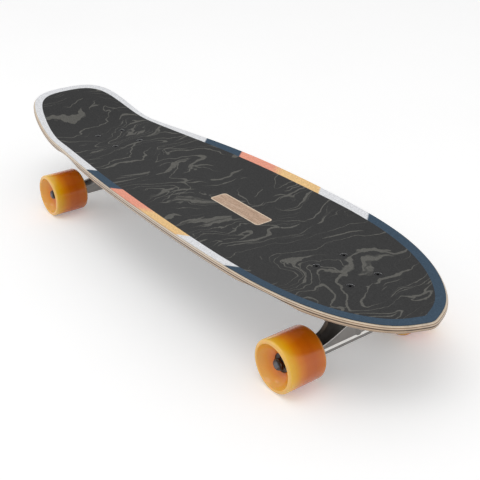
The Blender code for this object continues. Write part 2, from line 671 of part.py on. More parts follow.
def make_hanger(name, truck, finish):
    """Cast hanger: axle tube, central mound, bushing ring and bent pivot arm."""
    half = HANGER_WIDTH / 2
    places = [half * math.sin(math.pi / 2 * step / HANGER_STEPS) ** 1.4 for step in range(1, HANGER_STEPS + 1)]
    places = [-y for y in reversed(places)] + [0.0] + places
    hanger = solid(name, lofted([hanger_section(y) for y in places]), finish)
    kingpin_axis = Vector((math.sin(KINGPIN_TILT), 0.0, math.cos(KINGPIN_TILT)))

    def along_kingpin(shape):
        return solid("kingpin_shape", moved(shape, RING_CENTRE, kingpin_axis))

    ring = along_kingpin(rod(RING_RADIUS, -RING_HALF_HEIGHT, RING_HALF_HEIGHT, ROUND_SIDES))
    knee = PIVOT - STEERING_AXIS * PIVOT_KNEE
    foot = Vector((0.0, 0.0, 0.0))
    rise = (knee - foot).normalized()
    arm_length = (knee - foot).length
    arm = solid("arm", moved(
        rod(ARM_FOOT_RADIUS, 0.0, arm_length + PIVOT_ARM_RADIUS / 2, ROUND_SIDES, PIVOT_ARM_RADIUS), foot, rise))
    stub = solid("stub", moved(turned((
        (0.0, -PIVOT_KNEE), (PIVOT_ARM_RADIUS, -PIVOT_KNEE), (PIVOT_RADIUS, -PIVOT_STRAIGHT),
        (PIVOT_RADIUS, PIVOT_TIP / 2), (PIVOT_TIP_RADIUS, PIVOT_TIP), (0.0, PIVOT_TIP)), ROUND_SIDES),
        PIVOT, STEERING_AXIS))
    cut(hanger, [ring, arm, stub], "UNION")
    seat = BUSHING_RADIUS + SEAT_PLAY
    room = BUSHING_RADIUS + STACK_CLEARANCE
    far = 2 * PLATE_TOP
    board_room = turned((
        (0.0, RING_WEB_HALF), (seat, RING_WEB_HALF), (seat, RING_HALF_HEIGHT), (room, RING_HALF_HEIGHT + GAP),
        (room, WASHER_CLEARANCE_FROM), (BUSHING_RADIUS + WASHER_CLEARANCE, WASHER_CLEARANCE_FROM + GAP),
        (BUSHING_RADIUS + WASHER_CLEARANCE, far), (0.0, far)), ROUND_SIDES)
    road_room = turned((
        (0.0, -far), (room, -far), (room, -RING_HALF_HEIGHT - GAP), (seat, -RING_HALF_HEIGHT),
        (seat, -RING_WEB_HALF), (0.0, -RING_WEB_HALF)), ROUND_SIDES)
    pin_room = rod(RING_HOLE_RADIUS, -2 * RING_HALF_HEIGHT, 2 * RING_HALF_HEIGHT, ROUND_SIDES)
    axle_room = solid("axle_room", moved(
        rod(AXLE_RADIUS + BORE_PLAY, -HANGER_WIDTH, HANGER_WIDTH, SMALL_SIDES), direction=(0.0, 1.0, 0.0)))
    cut(hanger, [along_kingpin(board_room), along_kingpin(road_room), along_kingpin(pin_room), axle_room])
    place_in_truck(hanger, truck, RING_CENTRE)


def make_axle(name, truck, finish):
    """Steel axle right through the hanger."""
    shape = rod(AXLE_RADIUS, -AXLE_HALF_LENGTH, AXLE_HALF_LENGTH, SMALL_SIDES)
    solid(name, moved(shape, direction=(0.0, 1.0, 0.0)), finish, truck)


def wheel_profile():
    """Wheel section as (radius, height), height counted outboard from the wheel's middle."""
    half = WHEEL_WIDTH / 2
    tread = WHEEL_RADIUS / math.cos(math.pi / WHEEL_SIDES)
    seat = BEARING_RADIUS + BORE_PLAY
    outer_floor = OUTER_BEARING_Y + BEARING_WIDTH - WHEEL_Y
    inner_floor = INNER_BEARING_Y - WHEEL_Y
    seat_top = OUTER_BEARING_Y - GAP - WHEEL_Y
    seat_bottom = INNER_BEARING_Y + BEARING_WIDTH + GAP - WHEEL_Y
    outer_mouth = tread - OUTER_LIP_ROUND - FACE_BAND
    inner_mouth = tread - INNER_LIP_ROUND - INNER_FACE_BAND
    return (
        (CORE_RADIUS, seat_bottom), (CORE_RADIUS, seat_top), (seat, seat_top), (seat, outer_floor),
        (OUTER_DISH_FLOOR_RADIUS, outer_floor + GAP),
        ((OUTER_DISH_FLOOR_RADIUS + outer_mouth) / 2 + DISH_BOW, (outer_floor + half) / 2 - DISH_BOW),
        (outer_mouth, half), (tread - OUTER_LIP_ROUND, half),
        (tread - OUTER_LIP_ROUND * 0.29, half - OUTER_LIP_ROUND * 0.29), (tread, half - OUTER_LIP_ROUND),
        (tread, -half + INNER_LIP_ROUND), (tread - INNER_LIP_ROUND * 0.29, -half + INNER_LIP_ROUND * 0.29),
        (tread - INNER_LIP_ROUND, -half), (inner_mouth, -half), (INNER_DISH_FLOOR_RADIUS, inner_floor - GAP),
        (seat, inner_floor), (seat, seat_bottom))


def make_wheel_set(where, truck, side, finishes):
    """Wheel, its two bearings, the spacer between them and the axle nut, on one end of an axle."""
    hub = empty(f"{where}_wheel_axis", (0.0, side * WHEEL_Y, 0.0), parent=truck)
    hub.rotation_euler = (-side * math.pi / 2, 0.0, 0.0)
    solid(f"{where}_wheel", turned(wheel_profile(), WHEEL_SIDES), finishes["urethane"], hub)
    for kind, start in (("outer", OUTER_BEARING_Y), ("inner", INNER_BEARING_Y)):
        low = start - WHEEL_Y
        profile = (
            (AXLE_RADIUS + BORE_PLAY, low), (BEARING_RADIUS, low), (BEARING_RADIUS, low + BEARING_WIDTH),
            (AXLE_RADIUS + BORE_PLAY, low + BEARING_WIDTH))
        solid(f"{where}_{kind}_bearing", turned(profile, ROUND_SIDES), finishes["steel"], hub)
    bore = AXLE_RADIUS + BORE_PLAY
    low = INNER_BEARING_Y + BEARING_WIDTH + GAP - WHEEL_Y
    spacer = (
        (bore, low), (bore + SPACER_WALL, low), (bore + SPACER_WALL, low + SPACER_LENGTH),
        (bore, low + SPACER_LENGTH))
    solid(f"{where}_spacer", turned(spacer, ROUND_SIDES), finishes["steel"], hub)
    nut = hex_nut(AXLE_NUT_FLATS, bore, AXLE_NUT_Y - WHEEL_Y, AXLE_NUT_HEIGHT, BOLT_HEAD_RIM)
    solid(f"{where}_axle_nut", nut, finishes["steel"], hub)


def make_truck(where, facing, finishes):
    """Truck with its wheels; facing is 1 at the nose and -1 at the tail."""
    truck = empty(
        f"{where}_truck", (HOLE_MIDDLE_X + facing * AXLE_FROM_MIDDLE, 0.0, AXLE_Z),
        0.0 if facing > 0 else math.pi)
    make_riser(f"{where}_riser_pad", truck, finishes["riser"])
    for hole in HOLES:
        depth = "inner" if hole[0] < 0 else "outer"
        hand = "left" if facing * hole[1] > 0 else "right"
        make_bolt(f"{where}_{depth}_{hand}_bolt", truck, hole, finishes["black_steel"])
        make_lock_nut(f"{where}_{depth}_{hand}_lock_nut", truck, hole, finishes["steel"])
    make_baseplate(f"{where}_baseplate", truck, finishes["aluminium"])
    make_pivot_cup(f"{where}_pivot_cup", truck, finishes["cup"])
    make_kingpin(f"{where}_kingpin", truck, finishes["steel"])
    make_stack(where, truck, finishes)
    make_hanger(f"{where}_hanger", truck, finishes["aluminium"])
    make_axle(f"{where}_axle", truck, finishes["steel"])
    for side in (1, -1):
        hand = "left" if facing * side > 0 else "right"
        make_wheel_set(f"{where}_{hand}", truck, side, finishes)


def make_board():
    """The whole board."""
    clear_objects()
    finishes = {
        "maple": material("maple", (0.62, 0.50, 0.36), 0.45),
        "grip": material("grip", (0.055, 0.055, 0.055), 0.9),
        "riser": material("riser_rubber", (0.02, 0.02, 0.02), 0.7),
        "black_steel": material("black_steel", (0.02, 0.02, 0.02), 0.35, 1.0),
        "steel": material("zinc_steel", (0.55, 0.55, 0.56), 0.3, 1.0),
        "aluminium": material("cast_aluminium", (0.68, 0.68, 0.69), 0.25, 1.0),
        "cup": material("cup_urethane", (0.02, 0.02, 0.02), 0.5),
        "bushing": material("bushing_urethane", (0.02, 0.02, 0.02), 0.4),
        "urethane": material("wheel_urethane", (0.60, 0.24, 0.02), 0.3),
    }
    make_deck(finishes["maple"])
    make_grip(finishes["grip"])
    make_truck("front", 1, finishes)
    make_truck("rear", -1, finishes)


make_board()
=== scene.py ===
import math

import bpy
import numpy as np
from mathutils import Matrix, Vector


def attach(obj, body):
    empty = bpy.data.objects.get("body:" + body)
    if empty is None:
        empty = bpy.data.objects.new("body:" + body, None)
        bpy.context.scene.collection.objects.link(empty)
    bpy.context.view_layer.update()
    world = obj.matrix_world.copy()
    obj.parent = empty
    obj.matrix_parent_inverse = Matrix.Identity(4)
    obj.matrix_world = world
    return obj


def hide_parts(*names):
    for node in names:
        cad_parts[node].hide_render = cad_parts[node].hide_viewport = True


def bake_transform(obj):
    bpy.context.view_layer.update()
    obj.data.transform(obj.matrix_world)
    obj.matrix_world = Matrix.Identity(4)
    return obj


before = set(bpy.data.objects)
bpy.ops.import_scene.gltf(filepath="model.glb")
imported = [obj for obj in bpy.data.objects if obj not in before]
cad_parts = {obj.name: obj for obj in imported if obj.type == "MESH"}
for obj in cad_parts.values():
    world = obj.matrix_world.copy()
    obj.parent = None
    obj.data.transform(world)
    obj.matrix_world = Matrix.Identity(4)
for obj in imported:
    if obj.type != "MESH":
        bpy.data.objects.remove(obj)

# Start The CAD solids are in place.
bpy.ops.object.select_all(action="DESELECT")
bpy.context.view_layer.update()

# -----------------------------------------------------------------------------
# Deck
# Seven plies of hard maple, glued crosswise and pressed over a mould that gives the raised edges and the
# kicked tail. The outline is routed, both edges are rounded over, the wheel wells are sanded into the
# underside and the whole is lacquered, so the edge and the wells show the plies. The bottom is coloured dark
# grey.
DECK_LENGTH = 0.8125
DECK_WIDTH = 0.229
DECK_THICKNESS = 0.0086
DECK_TOP = 0.1001
TAIL_X = -DECK_LENGTH / 2
NOSE_X = DECK_LENGTH / 2
WIDEST_FROM_TAIL = 0.607 * DECK_LENGTH
# Points on the outline, from each tip: shares of the length along the board and of the half width across
TAIL_OUTLINE = (
    (0.0025, 0.244), (0.010, 0.401), (0.022, 0.514), (0.037, 0.589), (0.074, 0.681), (0.129, 0.741),
    (0.197, 0.790), (0.314, 0.889), (0.449, 0.969), (0.529, 0.992))
NOSE_OUTLINE = (
    (0.0037, 0.099), (0.010, 0.204), (0.022, 0.343), (0.037, 0.457), (0.058, 0.576), (0.105, 0.757),
    (0.169, 0.894), (0.261, 0.976), (0.320, 0.993))
OUTLINE_STATIONS = 260
EDGE_ROUND = 0.0030
EDGE_STEPS = 6
DARK_BOTTOM_SKIN = 0.00035
FLAT_HALF_WIDTH = 0.025
CONCAVE_RISE = 0.0091
CONCAVE_FULL_FROM_TAIL = 0.452
CONCAVE_FADE_LENGTH = 0.350
KICK_START_FROM_TAIL = 0.1425
KICK_SPAN = 0.170
KICK_HEIGHT = 0.0375
HOLE_MIDDLE_X = TAIL_X + 0.5323 * DECK_LENGTH
AXLE_FROM_MIDDLE = 0.2681
AXLE_Z = 0.031
WHEEL_Y = 0.0910
WELL_DEPTH = 0.0040
WELL_INBOARD = 0.032
WELL_RADIUS = 0.042
MOUNTING_HOLES = [(x, y) for x in (-0.0431, 0.0109) for y in (0.02065, -0.02065)]
HOLE_RADIUS = 0.0027
COUNTERSINK_RADIUS = 0.0047
COUNTERSINK_DEPTH = 0.0024
DRILL_SIDES = 24
# How near points lie that are merged: along a skin's seam, in turned work and after a cut
SEAM = 1e-6
FINE_SEAM = 2e-7
HAIRLINE = 4e-6
# Each truck is placed by the middle of its axle, and the rear one faces the tail
TRUCKS = {
    "front": Matrix.Translation((HOLE_MIDDLE_X + AXLE_FROM_MIDDLE, 0, AXLE_Z)),
    "rear": Matrix.Translation((HOLE_MIDDLE_X - AXLE_FROM_MIDDLE, 0, AXLE_Z))
    @ Matrix.Rotation(math.pi, 4, "Z")}


def clamped_spline(points):
    """Smooth curve through the outline's points, square to the board's length at both tips."""
    knots = np.array(points, dtype=float)
    steps = np.linalg.norm(np.diff(knots, axis=0), axis=1)
    run = np.concatenate(([0.0], np.cumsum(steps)))
    count = len(knots)
    matrix = np.zeros((count, count))
    target = np.zeros((count, 2))
    matrix[0, 0] = matrix[-1, -1] = 1.0
    target[0] = (0.0, 1.0)
    target[-1] = (0.0, -1.0)
    for index in range(1, count - 1):
        before, after = steps[index - 1], steps[index]
        matrix[index, index - 1:index + 2] = (1 / before, 2 / before + 2 / after, 1 / after)
        target[index] = 3 * (
            (knots[index] - knots[index - 1]) / before ** 2 + (knots[index + 1] - knots[index]) / after ** 2)
    slopes = np.linalg.solve(matrix, target)

    def at(length):
        index = int(np.clip(np.searchsorted(run, length) - 1, 0, count - 2))
        step = steps[index]
        share = (length - run[index]) / step
        rest = 1 - share
        place = (
            (1 + 2 * share) * rest ** 2 * knots[index] + share * rest ** 2 * step * slopes[index]
            + share ** 2 * (3 - 2 * share) * knots[index + 1] - share ** 2 * rest * step * slopes[index + 1])
        heading = (
            6 * share * rest * (knots[index + 1] - knots[index]) / step
            + rest * (1 - 3 * share) * slopes[index] + share * (3 * share - 2) * slopes[index + 1])
        return place, heading / np.linalg.norm(heading)

    return at, run[-1]


def outline_stations():
    """Half of the outline from tail to nose: places with their outward directions, closer at the tips."""
    half = DECK_WIDTH / 2
    points = [(TAIL_X, 0.0)]
    points += [(TAIL_X + along * DECK_LENGTH, across * half) for along, across in TAIL_OUTLINE]
    points.append((TAIL_X + WIDEST_FROM_TAIL, half))
    points += [(NOSE_X - along * DECK_LENGTH, across * half) for along, across in reversed(NOSE_OUTLINE)]
    points.append((NOSE_X, 0.0))
    at, length = clamped_spline(points)
    stations = []
    for index in range(OUTLINE_STATIONS + 1):
        even = index / OUTLINE_STATIONS
        eased = (1 - math.cos(math.pi * even)) / 2
        place, heading = at(length * (even + 0.5 * (eased - even)))
        stations.append((Vector(place), Vector((-heading[1], heading[0]))))
    stations[0][0].y = stations[-1][0].y = 0.0
    stations[0][1].xy = (-1.0, 0.0)
    stations[-1][1].xy = (1.0, 0.0)
    return stations


def deck_height(x, y):
    """Top of the wood: flat middle, raised edges and the tail's kick."""
    kick_run = min(max((TAIL_X + KICK_START_FROM_TAIL - x) / KICK_SPAN, 0.0), 1.0)
    kick = KICK_HEIGHT * (1 - math.cos(math.pi * kick_run)) / 2
    fade_run = min(max((TAIL_X + CONCAVE_FULL_FROM_TAIL - x) / CONCAVE_FADE_LENGTH, 0.0), 1.0)
    reach = max(abs(y) - FLAT_HALF_WIDTH, 0.0) / (DECK_WIDTH / 2 - FLAT_HALF_WIDTH)
    return DECK_TOP + kick + CONCAVE_RISE * (1 - fade_run ** 2) * reach ** 2


def below_top(x, y, depth):
    """Point straight under a place on the top of the wood, at a depth counted square to the surface."""
    reach = 0.0005
    slope_x = (deck_height(x + reach, y) - deck_height(x - reach, y)) / (2 * reach)
    slope_y = (deck_height(x, y + reach) - deck_height(x, y - reach)) / (2 * reach)
    return (x, y, deck_height(x, y) - depth * math.sqrt(1 + slope_x ** 2 + slope_y ** 2))


def wheel_well(x, y):
    """How much the underside is hollowed over each wheel."""
    depth = 0.0
    for facing in (1, -1):
        along = (x - HOLE_MIDDLE_X - facing * (AXLE_FROM_MIDDLE - WELL_INBOARD)) / WELL_RADIUS
        across = (abs(y) - WHEEL_Y) / WELL_RADIUS
        depth += WELL_DEPTH * max(1 - along ** 2 - across ** 2, 0.0)
    return depth


def only(piece):
    """Make one piece the only selected and the active one."""
    bpy.ops.object.select_all(action="DESELECT")
    piece.select_set(True)
    bpy.context.view_layer.objects.active = piece


def pick_edges(piece, wanted):
    """Select the wanted edges, and nothing else, of the piece that is being edited."""
    bpy.ops.mesh.select_mode(type="EDGE")
    bpy.ops.mesh.select_all(action="DESELECT")
    bpy.ops.object.mode_set(mode="OBJECT")
    for line in piece.data.edges:
        line.select = wanted(line)
    bpy.ops.object.mode_set(mode="EDIT")


def sew_up(reach):
    """Merge the points that lie within reach in the piece that is being edited, and turn its faces out."""
    bpy.ops.mesh.select_all(action="SELECT")
    bpy.ops.mesh.remove_doubles(threshold=reach)
    bpy.ops.mesh.normals_make_consistent(inside=False)
    bpy.ops.object.mode_set(mode="OBJECT")


def skin(name, loops, marks=None):
    """Skin equal closed loops of points: a grid with a vertex for each is laid over them and sewn up."""
    rows, columns = len(loops), len(loops[0])
    bpy.ops.mesh.primitive_grid_add(x_subdivisions=columns, y_subdivisions=rows - 1)
    piece = bpy.context.object
    piece.name = name
    mesh = piece.data
    order = list(range(columns)) + [0]
    mesh.vertices.foreach_set("co", np.array(loops, dtype=np.float32)[:, order].ravel())
    if marks:
        corners = np.zeros(len(mesh.loops), dtype=np.int32)
        mesh.loops.foreach_get("vertex_index", corners)
        flat = np.array(marks, dtype=np.float32)[:, order].reshape(-1, 2)
        mesh.uv_layers.active.data.foreach_set("uv", flat[corners].ravel())
    only(piece)
    bpy.ops.object.mode_set(mode="EDIT")
    sew_up(SEAM)
    return piece


def pressed_sheet(name, rings, across, depth_at, mark_at):
    """Sheet that follows the deck. Rings are (inset from the outline, depth) from the top to the bottom
    round its edge, and across says how many points cross the middle."""
    inner = [1 - 2 * step / across for step in range(1, across)]
    way_round = [(rings[0], share) for share in inner] + [(ring, -1) for ring in rings]
    way_round += [(rings[-1], -share) for share in inner] + [(ring, 1) for ring in reversed(rings)]
    loops, marks = [], []
    for place, outward in outline_stations():
        loop, marked = [], []
        for (inset, depth), share in way_round:
            x, half_width = place.x - inset * outward.x, place.y - inset * outward.y
            y = share * half_width
            real_depth = depth_at(x, y, depth)
            loop.append(below_top(x, y, real_depth))
            marked.append(mark_at(x, inset + max(half_width - abs(y), 0.0), real_depth))
        loops.append(loop)
        marks.append(marked)
    return skin(name, loops, marks)


def turned(name, profile, sides, ring=False):
    """Lathe work round Z: a circle is drawn out and resized through each (radius, height) of the profile.
    A ring closes on its own start, and any other shape gets a flat end at both ends."""
    bpy.ops.mesh.primitive_circle_add(vertices=sides, radius=profile[0][0])
    piece = bpy.context.object
    piece.name = name
    bpy.ops.object.mode_set(mode="EDIT")
    bpy.ops.mesh.select_all(action="SELECT")
    bpy.ops.transform.translate(value=(0, 0, profile[0][1]))
    if not ring:
        bpy.ops.mesh.edge_face_add()
        bpy.ops.mesh.duplicate()
        bpy.ops.mesh.delete(type="ONLY_FACE")
        pick_edges(piece, lambda line: min(line.vertices) >= sides)
    stations = list(profile) + ([profile[0]] if ring else [])
    for (radius, height), (next_radius, next_height) in zip(stations, stations[1:]):
        bpy.ops.mesh.extrude_edges_move(TRANSFORM_OT_translate={"value": (0, 0, next_height - height)})
        grow = next_radius / radius
        bpy.ops.transform.resize(value=(grow, grow, 1), center_override=(0, 0, 0))
    if not ring:
        bpy.ops.mesh.edge_face_add()
    bpy.ops.mesh.select_mode(type="VERT")
    sew_up(FINE_SEAM)
    return piece


def set_at(piece, place):
    """Turn and move a piece, and leave the place in its mesh."""
    only(piece)
    piece.matrix_world = place
    bpy.ops.object.transform_apply(location=True, rotation=True, scale=True)
    return piece


def machine(piece, tool, operation="DIFFERENCE"):
    """Cut the tool out of a piece, weld it on, or keep only what both share. The tool is taken away, and
    the hairline gaps that the cut leaves are closed."""
    only(piece)
    step = piece.modifiers.new(operation, "BOOLEAN")
    step.operation = operation
    step.solver = "EXACT"
    step.object = tool
    bpy.ops.object.modifier_apply(modifier=step.name)
    bpy.data.objects.remove(tool, do_unlink=True)
    bpy.ops.object.mode_set(mode="EDIT")
    bpy.ops.mesh.select_all(action="SELECT")
    bpy.ops.mesh.remove_doubles(threshold=HAIRLINE)
    bpy.ops.object.mode_set(mode="OBJECT")
    return piece


def bored(piece, places, profile, sides):
    """Cut the same turned shape out of a piece at each place."""
    for place in places:
        machine(piece, set_at(turned("drill", profile, sides), place))


def finish_mesh(piece, material, sharp_from=35.0):
    """Smooth shading with the sharp edges kept, and the piece's one material."""
    only(piece)
    bpy.ops.object.shade_smooth_by_angle(angle=math.radians(sharp_from))
    piece.data.materials.clear()
    piece.data.materials.append(material)
    return piece


def paint(red, green, blue):
    """Colour given on a screen's 0 to 255 scale, as shaders take it."""
    colour = []
    for share in (red / 255, green / 255, blue / 255):
        colour.append(share / 12.92 if share < 0.04045 else ((share + 0.055) / 1.055) ** 2.4)
    return (*colour, 1.0)


def add_node(tree, kind, inputs=None, **settings):
    """Node with its settings and its inputs, each one a value or the output that feeds it."""
    made = tree.nodes.new(kind)
    for setting, value in settings.items():
        setattr(made, setting, value)
    for socket, value in (inputs or {}).items():
        if isinstance(value, bpy.types.NodeSocket):
            tree.links.new(value, made.inputs[socket])
        else:
            made.inputs[socket].default_value = value
    return made


def maths(tree, operation, first, second=0.0, third=0.0, clamp=False):
    """One sum on values."""
    given = {0: first, 1: second, 2: third}
    return add_node(tree, "ShaderNodeMath", given, operation=operation, use_clamp=clamp).outputs[0]


def ramp(tree, value, stops):
    """Colour or grey by value, through (position, colour) stops."""
    made = add_node(tree, "ShaderNodeValToRGB", {0: value})
    elements = made.color_ramp.elements
    while len(elements) < len(stops):
        elements.new(0.5)
    for element, (position, colour) in zip(elements, stops):
        element.position = position
        element.color = colour if isinstance(colour, tuple) else (colour, colour, colour, 1.0)
    return made.outputs["Color"]


def colour_mix(tree, share, first, second, blend="MIX"):
    """Two colours mixed by share."""
    given = {0: share, 6: first, 7: second}
    return add_node(tree, "ShaderNodeMix", given, data_type="RGBA", blend_type=blend).outputs[2]


def noise(tree, place, scale, detail=2.0, roughness=0.5, distortion=0.0, output=0):
    """Soft noise from 0 to 1 over a place, as a value or as three in its Color output."""
    made = add_node(tree, "ShaderNodeTexNoise", {
        "Vector": place, "Scale": scale, "Detail": detail, "Roughness": roughness, "Distortion": distortion})
    return made.outputs[output]


def stretched(tree, scale, place=None):
    """Object coordinates, or another place, drawn out along its axes."""
    source = place or add_node(tree, "ShaderNodeTexCoord").outputs["Object"]
    return add_node(tree, "ShaderNodeMapping", {"Vector": source, "Scale": scale}).outputs[0]


def own_map(tree):
    """The X and Y that the piece's own map holds."""
    return add_node(tree, "ShaderNodeSeparateXYZ", {0: add_node(tree, "ShaderNodeUVMap").outputs[0]}).outputs


def new_material(name, roughness, metallic=0.0, **sockets):
    """Material with the values that are the same all over its surface."""
    material = bpy.data.materials.new(name)
    material.use_nodes = True
    shader = material.node_tree.nodes["Principled BSDF"]
    shader.inputs["Roughness"].default_value = roughness
    shader.inputs["Metallic"].default_value = metallic
    for socket, value in sockets.items():
        shader.inputs[socket.replace("_", " ")].default_value = value
    return material, material.node_tree, shader


def feed(tree, shader, **outputs):
    """Lead outputs into the shader's sockets."""
    for socket, output in outputs.items():
        tree.links.new(output, shader.inputs[socket.replace("_", " ")])


def bump(tree, height, distance, strength=1.0):
    """Normal that follows a height."""
    return add_node(
        tree, "ShaderNodeBump", {"Height": height, "Distance": distance, "Strength": strength}).outputs[0]


def maple_material():
    """Lacquered maple: the faces have long grain, and the edge and the wells show the plies by their depth.
    The sheet's map holds the inset from the outline and the depth."""
    material, tree, shader = new_material("maple", 0.42, Coat_Weight=0.25, Coat_Roughness=0.18)
    marks = own_map(tree)
    long_grain = noise(tree, stretched(tree, (9, 160, 160)), 1.0, 6.0, 0.6, 0.4)
    pores = noise(tree, stretched(tree, (60, 1500, 1500)), 1.0, 3.0, 0.55)
    drift = noise(tree, stretched(tree, (3.0, 14, 14)), 1.0, 2.0)
    wobble = maths(tree, "MULTIPLY", maths(tree, "SUBTRACT", long_grain, 0.5), 0.00022)
    share = maths(tree, "DIVIDE", maths(tree, "ADD", marks["Y"], wobble), DECK_THICKNESS)
    cream, beige, greyed = paint(222, 210, 194), paint(206, 186, 166), paint(176, 162, 148)
    glue, dark = paint(146, 112, 84), paint(78, 56, 34)
    layers = ramp(tree, share, [
        (0.0, cream), (0.125, cream), (0.140, glue), (0.205, glue), (0.225, cream), (0.370, beige),
        (0.392, dark), (0.530, dark), (0.552, beige), (0.692, beige), (0.704, glue), (0.720, glue),
        (0.733, greyed), (0.860, greyed), (0.872, glue), (0.884, greyed), (1.0, cream)])
    # The bottom face, inside its rounded edge, is coloured dark grey.
    dark_bottom = ramp(tree, drift, [(0.35, paint(44, 44, 47)), (0.65, paint(58, 57, 59))])
    at_face = maths(tree, "GREATER_THAN", marks["Y"], DECK_THICKNESS - DARK_BOTTOM_SKIN)
    past_edge = maths(tree, "GREATER_THAN", marks["X"], EDGE_ROUND + 0.0006)
    layers = colour_mix(tree, maths(tree, "MULTIPLY", at_face, past_edge), layers, dark_bottom)
    figure = ramp(tree, long_grain, [(0.30, 0.80), (0.52, 1.0), (0.75, 1.08)])
    colour = colour_mix(tree, 1.0, layers, figure, "MULTIPLY")
    warmth = ramp(tree, drift, [(0.35, paint(255, 243, 226)), (0.65, paint(255, 255, 255))])
    colour = colour_mix(tree, 0.8, colour, warmth, "MULTIPLY")
    fine = ramp(tree, pores, [(0.36, 0.82), (0.46, 1.0)])
    colour = colour_mix(tree, 0.6, colour, fine, "MULTIPLY")
    uneven = maths(tree, "MULTIPLY_ADD", pores, 0.20, 0.32)
    height = maths(tree, "ADD", maths(tree, "MULTIPLY", long_grain, 0.5), maths(tree, "MULTIPLY", pores, 0.5))
    feed(tree, shader, Base_Color=colour, Roughness=uneven, Normal=bump(tree, height, 0.00012, 0.7))
    return material


top_rings = [(0.018, 0.0), (0.010, 0.0), (0.0055, 0.0), (EDGE_ROUND, 0.0)]
for step in range(1, EDGE_STEPS + 1):
    turn = math.pi / 2 * step / EDGE_STEPS
    top_rings.append((EDGE_ROUND * (1 - math.sin(turn)), EDGE_ROUND * (1 - math.cos(turn))))
bottom_rings = [(inset, DECK_THICKNESS - depth) for inset, depth in reversed(top_rings)]
deck = pressed_sheet(
    "deck_board", top_rings + [(0.0, DECK_THICKNESS / 2)] + bottom_rings, 30,
    lambda x, y, depth: depth * (1 - wheel_well(x, y) / DECK_THICKNESS),
    lambda x, inset, depth: (inset, depth))
board_holes = [Matrix.Translation((*(truck @ Vector((x, y, 0))).xy, 0))
               for truck in TRUCKS.values() for x, y in MOUNTING_HOLES]
bored(deck, board_holes, [
    (HOLE_RADIUS, DECK_TOP - 2 * DECK_THICKNESS), (HOLE_RADIUS, DECK_TOP - COUNTERSINK_DEPTH),
    (COUNTERSINK_RADIUS, DECK_TOP), (COUNTERSINK_RADIUS, DECK_TOP + EDGE_ROUND)], DRILL_SIDES)
finish_mesh(deck, maple_material(), 40)
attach(deck, "board")
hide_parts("deck")

# -----------------------------------------------------------------------------
# Grip sheet
# One sheet of printed grit paper over the whole top, trimmed a little inside the rounded edge. The print is
# a grey marbled field, a border in four colours cut on the slant, and a plain wood-toned label plate.
GAP = 0.0003
GRIP_THICKNESS = 0.0008
GRIP_INSET = 0.0025
PUNCH_RADIUS = 0.0045
WHITE, NAVY = paint(233, 234, 237), paint(66, 84, 101)
CORAL, YELLOW = paint(243, 165, 142), paint(243, 203, 145)
# Where the border changes colour along the board, how far the change reaches before and after that place as
# shares of the board's length, and the colours on both sides
BORDER_CHANGES = (
    (-0.139, 0.0005, 0.0005, WHITE, NAVY), (-0.0585, 0.0005, 0.0005, NAVY, CORAL),
    (0.020, 0.012, 0.014, CORAL, YELLOW), (0.107, 0.0005, 0.0005, YELLOW, WHITE),
    (0.1985, 0.0005, 0.0005, WHITE, NAVY))
BORDER_SLANT = 0.012
# Width of the border at places along the board from the tail
BORDER_WIDTHS = (
    (0.0, 0.0125), (0.025, 0.0140), (0.060, 0.0134), (0.100, 0.0113), (0.130, 0.0105), (0.160, 0.0114),
    (0.200, 0.0126), (0.250, 0.0142), (0.360, 0.0158), (0.480, 0.0156), (0.580, 0.0140), (0.8125, 0.0138))
LABEL_CENTRE = (0.0835, 0.0, 0.0)
LABEL_HALF = (0.0500, 0.0125)
LABEL_CORNER = 0.0045
LABEL_LINE = 0.0016


def grain_group():
    """Grit or cast grain: fine specks over soft mottling, as a value round one half."""
    tree = bpy.data.node_groups.new("fine_grain", "ShaderNodeTree")
    for socket in ("Specks per metre", "Mottle per metre", "Mottle share"):
        tree.interface.new_socket(name=socket, in_out="INPUT", socket_type="NodeSocketFloat")
    tree.interface.new_socket(name="Grain", in_out="OUTPUT", socket_type="NodeSocketFloat")
    given = tree.nodes.new("NodeGroupInput").outputs
    place = add_node(tree, "ShaderNodeTexCoord").outputs["Object"]
    specks = noise(tree, place, given["Specks per metre"], 2.0, 0.7)
    mottle = noise(tree, place, given["Mottle per metre"], 3.0, 0.6)
    both = add_node(
        tree, "ShaderNodeMix", {0: given["Mottle share"], 2: specks, 3: mottle}, data_type="FLOAT")
    made = tree.nodes.new("NodeGroupOutput")
    tree.links.new(both.outputs[0], made.inputs["Grain"])
    return tree


fine_grain = grain_group()


def grain(tree, specks, mottle, share):
    """The shared grain placed in a material with its own scales."""
    made = add_node(tree, "ShaderNodeGroup", node_tree=fine_grain)
    for socket, value in zip(made.inputs, (specks, mottle, share)):
        socket.default_value = value
    return made.outputs[0]


def vector_maths(tree, operation, first, second=(0.0, 0.0, 0.0)):
    """One sum on places."""
    return add_node(tree, "ShaderNodeVectorMath", {0: first, 1: second}, operation=operation).outputs[0]


